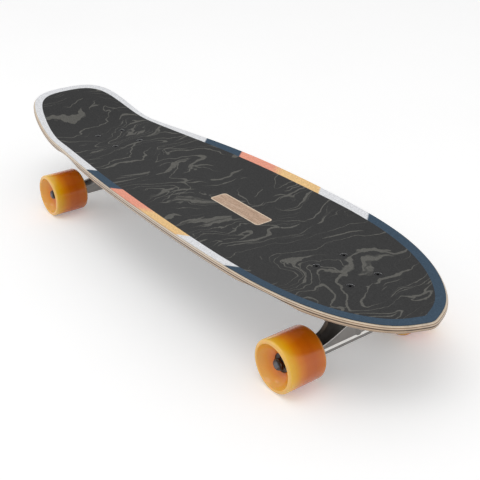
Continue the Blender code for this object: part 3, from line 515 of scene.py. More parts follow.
def marbling(tree):
    """Grey veins and flowing patches on the charcoal field, from 0 to 1."""
    flat = stretched(tree, (1.0, 1.0, 0.0))

    def pushed(place, scale, detail, roughness, reach):
        drift = noise(tree, flat, scale, detail, roughness, output="Color")
        drift = vector_maths(tree, "SUBTRACT", drift, (0.5, 0.5, 0.5))
        return vector_maths(tree, "ADD", place, vector_maths(tree, "MULTIPLY", drift, (reach, reach, reach)))

    flow = pushed(flat, 7.0, 1.0, 0.5, 0.15)
    flow = pushed(flow, 24.0, 2.0, 0.45, 0.036)
    flow = pushed(flow, 90.0, 2.0, 0.5, 0.007)

    def stream(scale, detail, roughness=0.5):
        return noise(tree, stretched(tree, scale, flow), 1.0, detail, roughness)

    def veins(scale, lines, width, where_scale, low, high):
        waves = maths(tree, "FRACT", maths(tree, "MULTIPLY", stream(scale, 1.5, 0.45), lines))
        crest = maths(tree, "ABSOLUTE", maths(tree, "SUBTRACT", waves, 0.5))
        where = noise(tree, flow, where_scale, 2.0)
        room = maths(tree, "MULTIPLY", maths(tree, "SUBTRACT", where, low), width / (high - low))
        inner = maths(tree, "SUBTRACT", maths(tree, "MINIMUM", room, width), crest)
        return maths(tree, "MULTIPLY_ADD", inner, 2.5 / width, 0.6, clamp=True)

    bundles = veins((10.0, 3.0, 0.0), 19.0, 0.070, 10.0, 0.50, 0.62)
    singles = veins((9.0, 2.4, 0.0), 6.0, 0.016, 13.0, 0.42, 0.54)
    slivers = ramp(tree, stream((120.0, 13.0, 0.0), 1.0, 0.4), [(0.66, 0.0), (0.68, 1.0)])
    pools = ramp(tree, stream((30.0, 8.0, 0.0), 2.0, 0.4), [(0.660, 0.0), (0.670, 1.0)])
    torn = ramp(tree, stream((170.0, 22.0, 0.0), 2.0), [(0.42, 0.30), (0.48, 1.0)])
    patches = maths(tree, "MULTIPLY", pools, torn)
    lines = maths(tree, "MAXIMUM", bundles, singles)
    return maths(tree, "MAXIMUM", maths(tree, "MAXIMUM", lines, slivers), patches)


def label_distance(tree):
    """Distance inside the label's rounded rectangle, in metres, more than zero within it."""
    place = add_node(tree, "ShaderNodeTexCoord").outputs["Object"]
    size = vector_maths(tree, "ABSOLUTE", vector_maths(tree, "SUBTRACT", place, LABEL_CENTRE))
    flat = vector_maths(tree, "MULTIPLY", size, (1.0, 1.0, 0.0))
    straight = tuple(half - LABEL_CORNER for half in LABEL_HALF)
    beyond = vector_maths(tree, "SUBTRACT", flat, (*straight, 1.0))
    outside = vector_maths(tree, "MAXIMUM", beyond)
    reach = add_node(tree, "ShaderNodeVectorMath", {0: outside}, operation="LENGTH").outputs["Value"]
    axes = add_node(tree, "ShaderNodeSeparateXYZ", {0: beyond}).outputs
    deepest = maths(tree, "MINIMUM", maths(tree, "MAXIMUM", axes[0], axes[1]), 0.0)
    return maths(tree, "SUBTRACT", LABEL_CORNER, maths(tree, "ADD", reach, deepest))


def grip_material():
    """Printed grit paper. The sheet's map holds the inset as a share of the border's width, and the place
    along the board that the border's slant leads to as a share of its length."""
    material, tree, shader = new_material("grip", 0.88, Specular_IOR_Level=0.12)
    marks = own_map(tree)
    stops = [(0.0, WHITE)]
    for place, reach_before, reach_after, before, after in BORDER_CHANGES:
        share = (place - TAIL_X) / DECK_LENGTH
        stops += [(share - reach_before, before), (share + reach_after, after)]
    border = ramp(tree, marks["Y"], stops)
    field = colour_mix(tree, marbling(tree), paint(61, 61, 61), paint(100, 99, 95))
    inside = ramp(tree, marks["X"], [(0.992, 0.0), (1.0, 1.0)])
    colour = colour_mix(tree, inside, border, field)
    label = label_distance(tree)
    wood = noise(tree, stretched(tree, (40, 420, 1)), 1.0, 4.0, 0.6, 0.6)
    wood_colour = ramp(tree, wood, [
        (0.30, paint(172, 143, 122)), (0.55, paint(196, 168, 146)), (0.75, paint(212, 188, 168))])
    in_line = maths(tree, "GREATER_THAN", label, LABEL_LINE)
    label_colour = colour_mix(tree, in_line, paint(228, 208, 186), wood_colour)
    colour = colour_mix(tree, maths(tree, "GREATER_THAN", label, 0.0), colour, label_colour)
    grit = grain(tree, 1250.0, 520.0, 0.5)
    shade = ramp(tree, grit, [(0.28, 0.66), (0.5, 1.0), (0.72, 1.42)])
    colour = colour_mix(tree, 1.0, colour, shade, "MULTIPLY")
    feed(tree, shader, Base_Color=colour, Normal=bump(tree, grit, 0.00030, 0.8))
    return material


def grip_mark(x, inset, depth):
    """What the grip sheet's map holds at a place."""
    share = inset / float(np.interp(x - TAIL_X, *zip(*BORDER_WIDTHS)))
    return (share, (x - TAIL_X - BORDER_SLANT * min(share, 1.0)) / DECK_LENGTH)


grip_face = -GAP - GRIP_THICKNESS
grip_insets = [0.0180, 0.0160, 0.0145, 0.0130, 0.0115, 0.0100, 0.0060, 0.0030, GRIP_INSET + 0.0001]
grip_rings = [(inset, grip_face) for inset in grip_insets] + [
    (GRIP_INSET, grip_face + 0.0001), (GRIP_INSET, -GAP), (0.0060, -GAP), (0.0180, -GAP)]
grip_sheet = pressed_sheet("grip_paper", grip_rings, 40, lambda x, y, depth: depth, grip_mark)
bored(grip_sheet, board_holes, [(PUNCH_RADIUS, DECK_TOP - 0.001), (PUNCH_RADIUS, DECK_TOP + 0.003)], 32)
finish_mesh(grip_sheet, grip_material(), 40)
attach(grip_sheet, "board")
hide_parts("grip_sheet")

# -----------------------------------------------------------------------------
# Mounting bolts and lock nuts
# Eight countersunk machine bolts with hexagon sockets, blackened, hold the trucks. Each is drawn up under
# the baseplate by a zinc-plated lock nut, which has a nylon ring let into its collar.
GRIP_TOP = 0.0702
PLATE_BOTTOM = 0.0475
BOLT_RADIUS = 0.0024
BOLT_HEAD_RADIUS = 0.0044
BOLT_HEAD_TOP = GRIP_TOP - 0.0001
BOLT_NECK_TOP = 0.0670
BOLT_END = PLATE_BOTTOM - 0.0073
BOLT_PITCH = 0.0008
SOCKET_RADIUS = 0.0018
SOCKET_DEPTH = 0.0018
LOCK_NUT_FLATS = 0.0095
LOCK_NUT_HEIGHT = 0.0050
UPSIDE_DOWN = Matrix.Rotation(math.pi, 4, "X")
LOCK_NUT_FRAME = Matrix.Translation((0, 0, PLATE_BOTTOM - GAP)) @ UPSIDE_DOWN


def threaded(radius, start, end, pitch):
    """Profile of a cut thread from start to end."""
    depth = 0.5 * pitch
    count = max(int(abs(end - start) / pitch), 1)
    step = (end - start) / count
    points = []
    for index in range(count):
        points += [(radius - depth, start + step * index), (radius, start + step * (index + 0.5))]
    return points + [(radius - depth, end)]


def rounded(corners, steps=4):
    """Section whose corners (radius, height, rounding) are rounded off, closed on itself."""
    points = []
    for index, (radius, height, rounding) in enumerate(corners):
        here = Vector((radius, height))
        if not rounding:
            points.append(tuple(here))
            continue
        back = (Vector(corners[index - 1][:2]) - here).normalized()
        on = (Vector(corners[(index + 1) % len(corners)][:2]) - here).normalized()
        half = back.angle(on) / 2
        centre = here + (back + on).normalized() * rounding / math.sin(half)
        start = here + back * rounding / math.tan(half) - centre
        end = here + on * rounding / math.tan(half) - centre
        swing = start.angle_signed(end)
        for step in range(steps + 1):
            turn = -swing * step / steps
            cosine, sine = math.cos(turn), math.sin(turn)
            points.append((
                centre.x + start.x * cosine - start.y * sine, centre.y + start.x * sine + start.y * cosine))
    return points


def hexagon(name, flats, start, end):
    """Hexagon bar along Z with the corners chamfered at both ends."""
    corner = flats / 2 / math.cos(math.pi / 6)
    face, beyond = flats / 2 * 0.97, corner * 1.005
    chamfer = (corner - face) * 0.6
    bar = turned(name, [(corner, start), (corner, end)], 6)
    envelope = turned("chamfer", [
        (face, start - 1e-5), (beyond, start + chamfer), (beyond, end - chamfer), (face, end + 1e-5)], 48)
    return machine(bar, envelope, "INTERSECT")


def lock_nut(name, flats, bore, height, metal):
    """Hexagon nut standing on Z 0 with a nylon-lined collar on top."""
    collar = 0.24 * height
    foot, neck = height - 2 * collar, height - 0.6 * collar
    girth, mouth = flats * 0.455, bore * 1.3
    nut = hexagon(name, flats, 0.0, height - collar)
    bored(nut, [Matrix()], [(bore, -height), (bore, 2 * height)], 40)
    machine(nut, turned("skirt", rounded([
        (bore, foot, 0), (girth, foot, 0), (girth, height, collar * 0.7), (mouth, height, 0),
        (mouth, neck, 0), (bore, neck, 0)]), 40, True), "UNION")
    finish_mesh(nut, metal, 28)
    low, high, inner, outer = height - 0.62 * collar, height - 0.12 * collar, bore - 0.0002, mouth + 0.0001
    finish_mesh(turned("lining", rounded([
        (inner, low, 0), (outer, low, 0), (outer, high, 0), (inner, high, 0.0001)]), 40, True), nylon)
    nut.select_set(True)
    bpy.context.view_layer.objects.active = nut
    bpy.ops.object.join()
    return nut


def copied(piece, name, place):
    """The same piece again with a mesh of its own, in its place."""
    twin = piece.copy()
    twin.data = piece.data.copy()
    bpy.context.scene.collection.objects.link(twin)
    twin.name = name
    return set_at(twin, place)


def fitted(piece, name, place, body, node=None):
    """Copy of a piece in its place, riding its body and in the stead of its node."""
    twin = copied(piece, name, place)
    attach(twin, body)
    if node:
        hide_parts(node)


def hand_of(place):
    """Side of the board that a place is on."""
    return "left" if place.translation.y > 0 else "right"


def put_away(*pieces):
    """Take the patterns away when every copy is fitted."""
    for piece in pieces:
        bpy.data.objects.remove(piece, do_unlink=True)


def metal_material(name, colour, roughness, specks, relief, patina):
    """Plated, blackened or cast metal: its own grain, faint marks and an uneven sheen."""
    material, tree, shader = new_material(name, roughness, 1.0)
    texture = grain(tree, specks, specks / 8, 0.5)
    clouds = grain(tree, 120.0, 35.0, 0.6)
    tone = ramp(tree, clouds, [(0.3, 1.0 - patina), (0.7, 1.0)])
    shaded = colour_mix(tree, 1.0, colour, tone, "MULTIPLY")
    uneven = maths(tree, "MULTIPLY_ADD", clouds, roughness * 0.8, roughness * 0.6)
    feed(tree, shader, Base_Color=shaded, Roughness=uneven, Normal=bump(tree, texture, relief, 0.6))
    return material


def plastic_material(name, colour, roughness, **sockets):
    """Moulded rubber, nylon or urethane in one colour, a little uneven and scuffed."""
    material, tree, shader = new_material(name, roughness, **sockets)
    texture = grain(tree, 1400.0, 160.0, 0.5)
    tone = ramp(tree, texture, [(0.25, 0.78), (0.75, 1.2)])
    shaded = colour_mix(tree, 1.0, colour, tone, "MULTIPLY")
    uneven = maths(tree, "MULTIPLY_ADD", texture, 0.25, roughness - 0.12)
    feed(tree, shader, Base_Color=shaded, Roughness=uneven, Normal=bump(tree, texture, 0.00004, 0.6))
    return material


zinc_steel = metal_material("zinc_steel", paint(172, 174, 178), 0.26, 1600.0, 0.000015, 0.3)
black_steel = metal_material("dusty_black_steel", paint(46, 46, 48), 0.5, 1500.0, 0.00002, 0.2)
nylon = plastic_material("nylon_lining", paint(52, 60, 74), 0.45)
bolt = turned("bolt", [
    (BOLT_RADIUS * 0.7, BOLT_END),
    *threaded(BOLT_RADIUS, BOLT_END + 0.0003, PLATE_BOTTOM - 0.0002, BOLT_PITCH),
    (BOLT_RADIUS, PLATE_BOTTOM), (BOLT_RADIUS, BOLT_NECK_TOP),
    (BOLT_HEAD_RADIUS - 0.0001, BOLT_HEAD_TOP - 0.0006), (BOLT_HEAD_RADIUS, BOLT_HEAD_TOP - 0.0005),
    (BOLT_HEAD_RADIUS, BOLT_HEAD_TOP - 0.0002), (BOLT_HEAD_RADIUS - 0.0002, BOLT_HEAD_TOP)], 40)
bored(bolt, [Matrix()], [
    (SOCKET_RADIUS, BOLT_HEAD_TOP - SOCKET_DEPTH), (SOCKET_RADIUS, BOLT_HEAD_TOP + SOCKET_DEPTH)], 6)
finish_mesh(bolt, black_steel, 30)
nut = lock_nut("lock_nut", LOCK_NUT_FLATS, HOLE_RADIUS, LOCK_NUT_HEIGHT, zinc_steel)
for where, truck in TRUCKS.items():
    for x, y in MOUNTING_HOLES:
        there = truck @ Matrix.Translation((x, y, 0))
        under = there @ LOCK_NUT_FRAME
        corner = f"{where}_{'inner' if x < 0 else 'outer'}_{hand_of(there)}"
        fitted(bolt, f"{corner}_socket_bolt", there, "board", f"{corner}_bolt")
        fitted(nut, f"{corner}_nylon_nut", under, "board", f"{corner}_lock_nut")
put_away(bolt, nut)

# -----------------------------------------------------------------------------
# Riser pads
# Soft rubber pads, moulded with round corners, that lift each truck off the deck and take up shocks.
PLATE_TOP = 0.0535
PLATE_LOW_X = MOUNTING_HOLES[0][0] - 0.0110
PLATE_HIGH_X = MOUNTING_HOLES[2][0] + 0.0250
PLATE_WIDTH = 0.0570
PLATE_CORNER = 0.0090
RISER_MARGIN = 0.0015
RISER_THICKNESS = 0.0064
RISER_EASE = 0.0006


def slab(name, low_x, high_x, width, bottom, top, corner, ease):
    """Flat block with round corners and eased edges."""
    bpy.ops.mesh.primitive_cube_add(size=1)
    block = bpy.context.object
    block.name = name
    size = (high_x - low_x, width, top - bottom)
    middle = ((low_x + high_x) / 2, 0, (bottom + top) / 2)
    set_at(block, Matrix.Translation(middle) @ Matrix.Diagonal((*size, 1)))
    bpy.ops.object.mode_set(mode="EDIT")
    heights = [point.co.z for point in block.data.vertices]
    pick_edges(block, lambda line: heights[line.vertices[0]] != heights[line.vertices[1]])
    bpy.ops.mesh.bevel(offset=corner, segments=8, affect="EDGES")
    bpy.ops.object.mode_set(mode="OBJECT")
    rounding = block.modifiers.new("ease", "BEVEL")
    rounding.width = ease
    rounding.segments = 3
    rounding.limit_method = "ANGLE"
    rounding.angle_limit = math.radians(60)
    bpy.ops.object.modifier_apply(modifier="ease")
    return block


def fitted_to_trucks(piece, name, body, node):
    """A copy in each truck, on the board or on the truck's own part, and the pattern is put away."""
    for where, truck in TRUCKS.items():
        ridden = body if body == "board" else f"{where}_{body}"
        fitted(piece, f"{where}_{name}", truck, ridden, f"{where}_{node}")
    put_away(piece)


riser = slab(
    "riser", PLATE_LOW_X - RISER_MARGIN, PLATE_HIGH_X + RISER_MARGIN, PLATE_WIDTH + 2 * RISER_MARGIN,
    PLATE_TOP + GAP, PLATE_TOP + GAP + RISER_THICKNESS, PLATE_CORNER, RISER_EASE)
truck_holes = [Matrix.Translation((x, y, 0)) for x, y in MOUNTING_HOLES]
bored(riser, truck_holes, [(HOLE_RADIUS, PLATE_BOTTOM), (HOLE_RADIUS, GRIP_TOP)], DRILL_SIDES)
finish_mesh(riser, plastic_material("riser_rubber", paint(38, 38, 40), 0.62))
fitted_to_trucks(riser, "rubber_pad", "board", "riser_pad")

# -----------------------------------------------------------------------------
# Baseplates
# Sand-cast and tumbled aluminium: a flange with four holes, the tilted boss that holds the kingpin, and
# the housing of the pivot cup, joined by a web. Its soft edges come from the casting.
RING_CENTRE = Vector((-0.024, 0.0, 0.010))
KINGPIN_TILT = math.radians(12.0)
KINGPIN_FRAME = Matrix.Translation(RING_CENTRE) @ Matrix.Rotation(KINGPIN_TILT, 4, "Y")
KINGPIN_HOLE = 0.0052
KINGPIN_HEAD_FLATS = 0.0140
KINGPIN_HEAD_TOP = (PLATE_TOP - RING_CENTRE.z) / math.cos(KINGPIN_TILT) - 0.0026
KINGPIN_HEAD_START = KINGPIN_HEAD_TOP - 0.0070
PIVOT = Vector((0.020, 0.0, 0.036))
STEERING_AXIS = (PIVOT - RING_CENTRE).normalized()
PIVOT_FRAME = Matrix.Translation(PIVOT) @ STEERING_AXIS.to_track_quat("Z", "Y").to_matrix().to_4x4()
CUP_RADIUS = 0.0090
CUP_END = 0.0056
PLATE_EASE = 0.0008
BOSS_START = 0.0170
BOSS_RADIUS = 0.0135
BOSS_ROOT_RADIUS = 0.0165
HOUSING_RADIUS = 0.0125
HOUSING_START = -0.0065
WEB_WIDTH = 0.0090
PLATE_VOXEL = 0.0006


def cast(piece, others, voxel, soften):
    """Flow the joined solids into one casting and soften its inner and outer corners."""
    only(piece)
    for other in others:
        other.select_set(True)
    bpy.ops.object.join()
    step = piece.modifiers.new("melt", "REMESH")
    step.mode = "VOXEL"
    step.voxel_size = voxel
    bpy.ops.object.modifier_apply(modifier="melt")
    step = piece.modifiers.new("soften", "SMOOTH")
    step.factor = 0.5
    step.iterations = soften
    bpy.ops.object.modifier_apply(modifier="soften")


cast_aluminium = metal_material("cast_aluminium", paint(158, 155, 152), 0.30, 900.0, 0.00003, 0.25)
plate = slab(
    "plate", PLATE_LOW_X, PLATE_HIGH_X, PLATE_WIDTH, PLATE_BOTTOM, PLATE_TOP, PLATE_CORNER, PLATE_EASE)
boss = turned("boss", [(BOSS_RADIUS, BOSS_START), (BOSS_ROOT_RADIUS, KINGPIN_HEAD_TOP)], 48)
housing_end = (PLATE_TOP - PIVOT.z) / STEERING_AXIS.z * 0.72
housing = turned("housing", [(HOUSING_RADIUS, HOUSING_START), (HOUSING_RADIUS, housing_end)], 48)
web = slab(
    "web", RING_CENTRE.x + BOSS_RADIUS, PIVOT.x, WEB_WIDTH, PLATE_BOTTOM - 0.0060, PLATE_TOP - 0.0003,
    WEB_WIDTH / 4, PLATE_EASE)
cast(plate, [set_at(boss, KINGPIN_FRAME), set_at(housing, PIVOT_FRAME), web], PLATE_VOXEL, 6)
machine(plate, slab("above", -0.15, 0.15, 0.2, PLATE_TOP, 2 * PLATE_TOP, PLATE_CORNER, 0.0001))
bored(plate, truck_holes, [(HOLE_RADIUS, PLATE_TOP - 0.02), (HOLE_RADIUS, PLATE_TOP + 0.01)], DRILL_SIDES)
head_room = KINGPIN_HEAD_FLATS / 2 / math.cos(math.pi / 6) + 0.0006
bored(plate, [KINGPIN_FRAME], [
    (KINGPIN_HOLE, 0.0), (KINGPIN_HOLE, KINGPIN_HEAD_START - GAP), (head_room, KINGPIN_HEAD_START - GAP),
    (head_room, 2 * PLATE_TOP)], 48)
bored(plate, [PIVOT_FRAME], [(CUP_RADIUS + GAP, -0.02), (CUP_RADIUS + GAP, CUP_END + GAP)], 48)
finish_mesh(plate, cast_aluminium)
fitted_to_trucks(plate, "cast_plate", "board", "baseplate")

# -----------------------------------------------------------------------------
# Kingpins with their washers and nuts, and the pivot cups
# A forged steel bolt with its head let into the baseplate carries the bushings between flat washers, and
# a lock nut sets how hard they are squeezed. A moulded urethane cup holds the hanger's pivot.
KINGPIN_RADIUS = 0.0049
KINGPIN_END = -0.0248
KINGPIN_PITCH = 0.0012
KINGPIN_THREAD_TOP = -0.0130
KINGPIN_NUT_START = -0.0152
KINGPIN_NUT_FLATS = 0.0143
KINGPIN_NUT_HEIGHT = 0.0070
WASHER_EASE = 0.0003
# Radius, lower and upper face of each washer along the kingpin
BOARDSIDE_WASHER = (0.0125, 0.0157, 0.0167)
ROADSIDE_WASHER = (0.0105, -0.0149, -0.0139)
CUP_MOUTH = -0.0060
CUP_BORE = 0.0062
CUP_EASE = 0.0004


def ring(name, inner, outer, low, high, ease, material, sides=64):
    """Washer or other flat ring with eased edges, along Z."""
    section = rounded([(inner, low, ease), (outer, low, ease), (outer, high, ease), (inner, high, ease)], 3)
    return finish_mesh(turned(name, section, sides, True), material)


kingpin = hexagon("kingpin", KINGPIN_HEAD_FLATS, KINGPIN_HEAD_START, KINGPIN_HEAD_TOP)
machine(kingpin, turned("shank", [
    (KINGPIN_RADIUS * 0.75, KINGPIN_END),
    *threaded(KINGPIN_RADIUS, KINGPIN_END + 0.0005, KINGPIN_THREAD_TOP, KINGPIN_PITCH),
    (KINGPIN_RADIUS, KINGPIN_THREAD_TOP + 0.0005),
    (KINGPIN_RADIUS, KINGPIN_HEAD_START + 0.003)], 48), "UNION")
finish_mesh(kingpin, zinc_steel, 30)
kingpin_nut = lock_nut("kingpin_nut", KINGPIN_NUT_FLATS, KINGPIN_HOLE, KINGPIN_NUT_HEIGHT, zinc_steel)
set_at(kingpin_nut, Matrix.Translation((0, 0, KINGPIN_NUT_START)) @ UPSIDE_DOWN)
pivot_cup = turned("pivot_cup", [
    (CUP_RADIUS - CUP_EASE, CUP_END), (CUP_RADIUS, CUP_END - CUP_EASE), (CUP_RADIUS, CUP_MOUTH + CUP_EASE),
    (CUP_RADIUS - CUP_EASE, CUP_MOUTH), (CUP_BORE + CUP_EASE, CUP_MOUTH), (CUP_BORE, CUP_MOUTH + CUP_EASE),
    (CUP_BORE, 0.0020), (0.0050, 0.0031)], 48)
finish_mesh(pivot_cup, plastic_material("cup_urethane", paint(34, 34, 36), 0.40))
for piece, place, name, node, slot in (
        (kingpin, KINGPIN_FRAME, "kingpin_bolt", "kingpin", "zinc_steel"),
        (ring("upper", KINGPIN_HOLE, *BOARDSIDE_WASHER, WASHER_EASE, zinc_steel), KINGPIN_FRAME,
         "upper_cup_washer", "boardside_washer", "zinc_steel"),
        (ring("lower", KINGPIN_HOLE, *ROADSIDE_WASHER, WASHER_EASE, zinc_steel), KINGPIN_FRAME,
         "lower_cup_washer", "roadside_washer", "zinc_steel"),
        (kingpin_nut, KINGPIN_FRAME, "kingpin_lock_nut", "kingpin_nut", "zinc_steel"),
        (pivot_cup, PIVOT_FRAME, "pivot_liner", "pivot_cup", "cup_urethane")):
    fitted_to_trucks(set_at(piece, place), name, "board", node)

# -----------------------------------------------------------------------------
# Bushings
# Poured urethane: a barrel above the hanger's ring and a cone below it. They are squeezed between the
# ring and the washers.
BUSHING_SEAT = 0.0031
BARREL_RADIUS = 0.0122
BARREL_END = 0.0154
CONE_END = -0.0136
CONE_END_RADIUS = 0.0088
LIP_RADIUS = BARREL_RADIUS - 0.0001

bushing_urethane = plastic_material("bushing_urethane", paint(40, 38, 38), 0.35, Coat_Weight=0.2)
bushings = {
    "boardside": (BUSHING_SEAT, BARREL_END, [
        (KINGPIN_HOLE, BUSHING_SEAT, 0.0004), (LIP_RADIUS, BUSHING_SEAT, 0.0008),
        (BARREL_RADIUS, 0.0072, 0.002), (BARREL_RADIUS, 0.0113, 0.002), (LIP_RADIUS, BARREL_END, 0.0008),
        (KINGPIN_HOLE, BARREL_END, 0.0004)]),
    "roadside": (-BUSHING_SEAT, CONE_END, [
        (KINGPIN_HOLE, -BUSHING_SEAT, 0.0004), (BARREL_RADIUS, -BUSHING_SEAT, 0.0008),
        (LIP_RADIUS, -0.0060, 0.002), (CONE_END_RADIUS, CONE_END, 0.0008), (KINGPIN_HOLE, CONE_END, 0.0004)])}
for kind, (seat, far, corners) in bushings.items():
    bushing = set_at(finish_mesh(turned(kind, rounded(corners), 64, True), bushing_urethane), KINGPIN_FRAME)
    for where, truck in TRUCKS.items():
        twin = copied(bushing, f"{where}_{kind}_urethane", truck)
        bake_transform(twin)
        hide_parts(f"{where}_{kind}_bushing")
    put_away(bushing)

# -----------------------------------------------------------------------------
# Hangers
# Cast aluminium: a squared tube for the axle, a mound that rises to the bushing ring and a bent arm to the
# pivot. A bevel and the lip of the outboard face get a brighter, glossier metal: partly real polish and
# partly a painted highlight, put on the faces that tilt up towards the light. The seats and the bores are
# machined.
HANGER_HALF = 0.080
HANGER_END_RADIUS = 0.0104
HANGER_LOOPS = 161
HANGER_VOXEL = 0.00047
MOUND_RISE = 0.021
MOUND_HALF_WIDTH = 0.0355
MOUND_DIRECTION = math.radians(112.0)
CREST_RADIUS = 0.0103
ROUND_FROM = 0.068
ROUND_BY = 0.077
FACE_FOOT = (0.0088, 0.0003)
# Height of the upright face at places along the axle, from the middle out
FACE_RISES = (
    (0.0, 0.0187), (0.020, 0.0164), (0.030, 0.0122), (0.039, 0.0086), (0.046, 0.0062), (0.068, 0.0012),
    (0.080, 0.0006))
# The bevel and lip in brighter metal, partly real polish and partly painted highlight, by their height less
# their place outboard
BEVEL_MIDDLE = -0.0105
BEVEL_REACH = 0.0021
LIP_MIDDLE = 0.0004
LIP_REACH = 0.0009
FACE_SIDE = 0.006
RING_RADIUS = 0.019
RING_HALF = 0.0060
SEAT_RADIUS = 0.0126
SEAT_MOUTH = 0.0148
SEAT_FLOOR = 0.0028
PIN_ROOM = 0.0072
ARM_ROOT_RADIUS = 0.0095
ARM_RADIUS = 0.0080
KNEE_BELOW_PIVOT = 0.014
PIVOT_RADIUS = 0.0056
AXLE_BORE = 0.0043


def face_rise(out):
    """Height of the upright face at a distance out from the middle."""
    return float(np.interp(out, *zip(*FACE_RISES)))


def hanger_section(y):
    """Loop of the hanger's body at a place along the axle: the axle's tube with its two bevels, the upright
    face with its lip, the flank and the crest of the mound. It turns round inside the wheel."""
    out = abs(y)
    mound = MOUND_RISE / (1 + (out / MOUND_HALF_WIDTH) ** 6)
    lip = Vector(FACE_FOOT) + Vector((0, face_rise(out)))
    crest = Vector((math.cos(MOUND_DIRECTION), math.sin(MOUND_DIRECTION))) * (CREST_RADIUS + mound)
    flank = (lip + crest + Vector((0.003, 0.0012))) / 2 - Vector((0.0004, 0.0004))
    loop = rounded([
        (-0.0095, -0.0098, 0.0025), (0.0060, -0.0098, 0.0012), (0.0086, -0.0074, 0.0010),
        (0.0101, -0.0025, 0.0012), (*FACE_FOOT, 0.0003), (lip.x, lip.y, 0.0002),
        (lip.x + 0.0003, lip.y + 0.0003, 0.0002), (lip.x - 0.0006, lip.y + 0.0012, 0.0004),
        (flank.x, flank.y, 0.006), (crest.x + 0.003, crest.y, 0.0022), (crest.x - 0.003, crest.y, 0.0022),
        (-0.0108, 0.0040, 0.0040)], 6)
    turn = min(max((out - ROUND_FROM) / (ROUND_BY - ROUND_FROM), 0.0), 1.0)
    turn = turn * turn * (3 - 2 * turn)
    section = []
    for x, z in loop:
        scale = 1 + turn * (HANGER_END_RADIUS / math.hypot(x, z) - 1)
        section.append((x * scale, y, z * scale))
    return section


places = [HANGER_HALF * (2 * step / (HANGER_LOOPS - 1) - 1) for step in range(HANGER_LOOPS)]
hanger = skin("hanger", [hanger_section(y) for y in places])
bpy.ops.object.mode_set(mode="EDIT")
for end in (-HANGER_HALF, HANGER_HALF):
    pick_edges(hanger, lambda line: all(
        abs(hanger.data.vertices[index].co.y - end) < SEAM for index in line.vertices))
    bpy.ops.mesh.edge_face_add()
sew_up(SEAM)
ring_body = turned("ring_body", [
    (RING_RADIUS - 0.0008, -RING_HALF), (RING_RADIUS, 0.0008 - RING_HALF), (RING_RADIUS, RING_HALF - 0.0008),
    (RING_RADIUS - 0.0008, RING_HALF)], 72)
knee = PIVOT - STEERING_AXIS * KNEE_BELOW_PIVOT
arm = turned("arm", [(ARM_ROOT_RADIUS, 0.0), (ARM_RADIUS, knee.length + 0.004)], 48)
arm_frame = knee.normalized().to_track_quat("Z", "Y").to_matrix().to_4x4()
stub = turned("stub", [
    (ARM_RADIUS, -KNEE_BELOW_PIVOT), (PIVOT_RADIUS, -KNEE_BELOW_PIVOT / 2), (PIVOT_RADIUS, 0.0012),
    (0.0050, 0.0021), (0.0040, 0.0025)], 48)
cast(hanger, [set_at(ring_body, KINGPIN_FRAME), set_at(arm, arm_frame), set_at(stub, PIVOT_FRAME)],
     HANGER_VOXEL, 4)
for tool in (
        [(SEAT_RADIUS, SEAT_FLOOR), (SEAT_RADIUS, RING_HALF), (SEAT_MOUTH, RING_HALF + 0.0003),
         (SEAT_MOUTH, 0.0090), (RING_RADIUS + 0.0007, 0.0093), (RING_RADIUS + 0.0007, 0.1)],
        [(SEAT_MOUTH, -0.1), (SEAT_MOUTH, -RING_HALF - 0.0003), (SEAT_RADIUS, -RING_HALF),
         (SEAT_RADIUS, -SEAT_FLOOR)],
        [(PIN_ROOM, -2 * RING_HALF), (PIN_ROOM, 2 * RING_HALF)]):
    bored(hanger, [KINGPIN_FRAME], tool, 72)
bored(hanger, [Matrix.Rotation(math.pi / 2, 4, "X")], [(AXLE_BORE, -0.15), (AXLE_BORE, 0.15)], 32)
finish_mesh(hanger, cast_aluminium)
# Brighter, glossier metal on the bevel and the lip where their faces tilt up towards the light: partly real
# polish, partly a painted highlight.
hanger.data.materials.append(
    metal_material("polished_and_highlight_aluminium", paint(226, 224, 220), 0.20, 1500.0, 0.00001, 0.10))
for face in hanger.data.polygons:
    x, y, z = face.center
    lip_offset = FACE_FOOT[1] - FACE_FOOT[0] + face_rise(abs(y)) + LIP_MIDDLE
    bevel_polish_and_highlight = abs(z - x - BEVEL_MIDDLE) < BEVEL_REACH and 0.12 < face.normal.z < 0.8
    lip_polish_and_highlight = abs(z - x - lip_offset) < LIP_REACH and face.normal.z > 0.1
    if (bevel_polish_and_highlight or lip_polish_and_highlight) and x > FACE_SIDE and abs(y) < ROUND_FROM:
        face.material_index = 1
fitted_to_trucks(hanger, "cast_hanger", "truck_hanger", "hanger")

# -----------------------------------------------------------------------------
# Axles, speed washers, spacers and axle nuts
# An eight-millimetre steel axle runs right through each hanger, threaded at both ends. Thin washers keep
# the bearings off the hanger and off the lock nuts, and a short tube keeps the two bearings apart.
AXLE_RADIUS = 0.0040
AXLE_END = 0.1119
AXLE_THREAD_FROM = 0.1040
AXLE_PITCH = 0.0010
AXLE_NUT_FLATS = 0.0127
AXLE_NUT_HEIGHT = 0.0052
AXLE_NUT_Y = 0.1055
SPEED_WASHER_RADIUS = 0.0062
SPEED_WASHER_THICKNESS = 0.0009
SPEED_WASHERS = {"inner": 0.0802, "outer": 0.1043}

thread = threaded(AXLE_RADIUS, -AXLE_END + 0.0004, -AXLE_THREAD_FROM, AXLE_PITCH)
half = [(AXLE_RADIUS * 0.8, -AXLE_END), *thread, (AXLE_RADIUS, -AXLE_THREAD_FROM + 0.0005)]
axle = turned("axle", half + [(radius, -height) for radius, height in reversed(half)], 40)
finish_mesh(axle, metal_material("axle_steel", paint(112, 112, 116), 0.34, 1600.0, 0.000015, 0.4), 30)
set_at(axle, Matrix.Rotation(math.pi / 2, 4, "X"))
speed_washer = ring(
    "speed_washer", AXLE_BORE, SPEED_WASHER_RADIUS, 0.0, SPEED_WASHER_THICKNESS, 0.00015, zinc_steel, 40)
nut_steel = metal_material("nut_steel", paint(88, 82, 74), 0.20, 1600.0, 0.00001, 0.3)
axle_nut = lock_nut("axle_nut", AXLE_NUT_FLATS, AXLE_BORE, AXLE_NUT_HEIGHT, nut_steel)
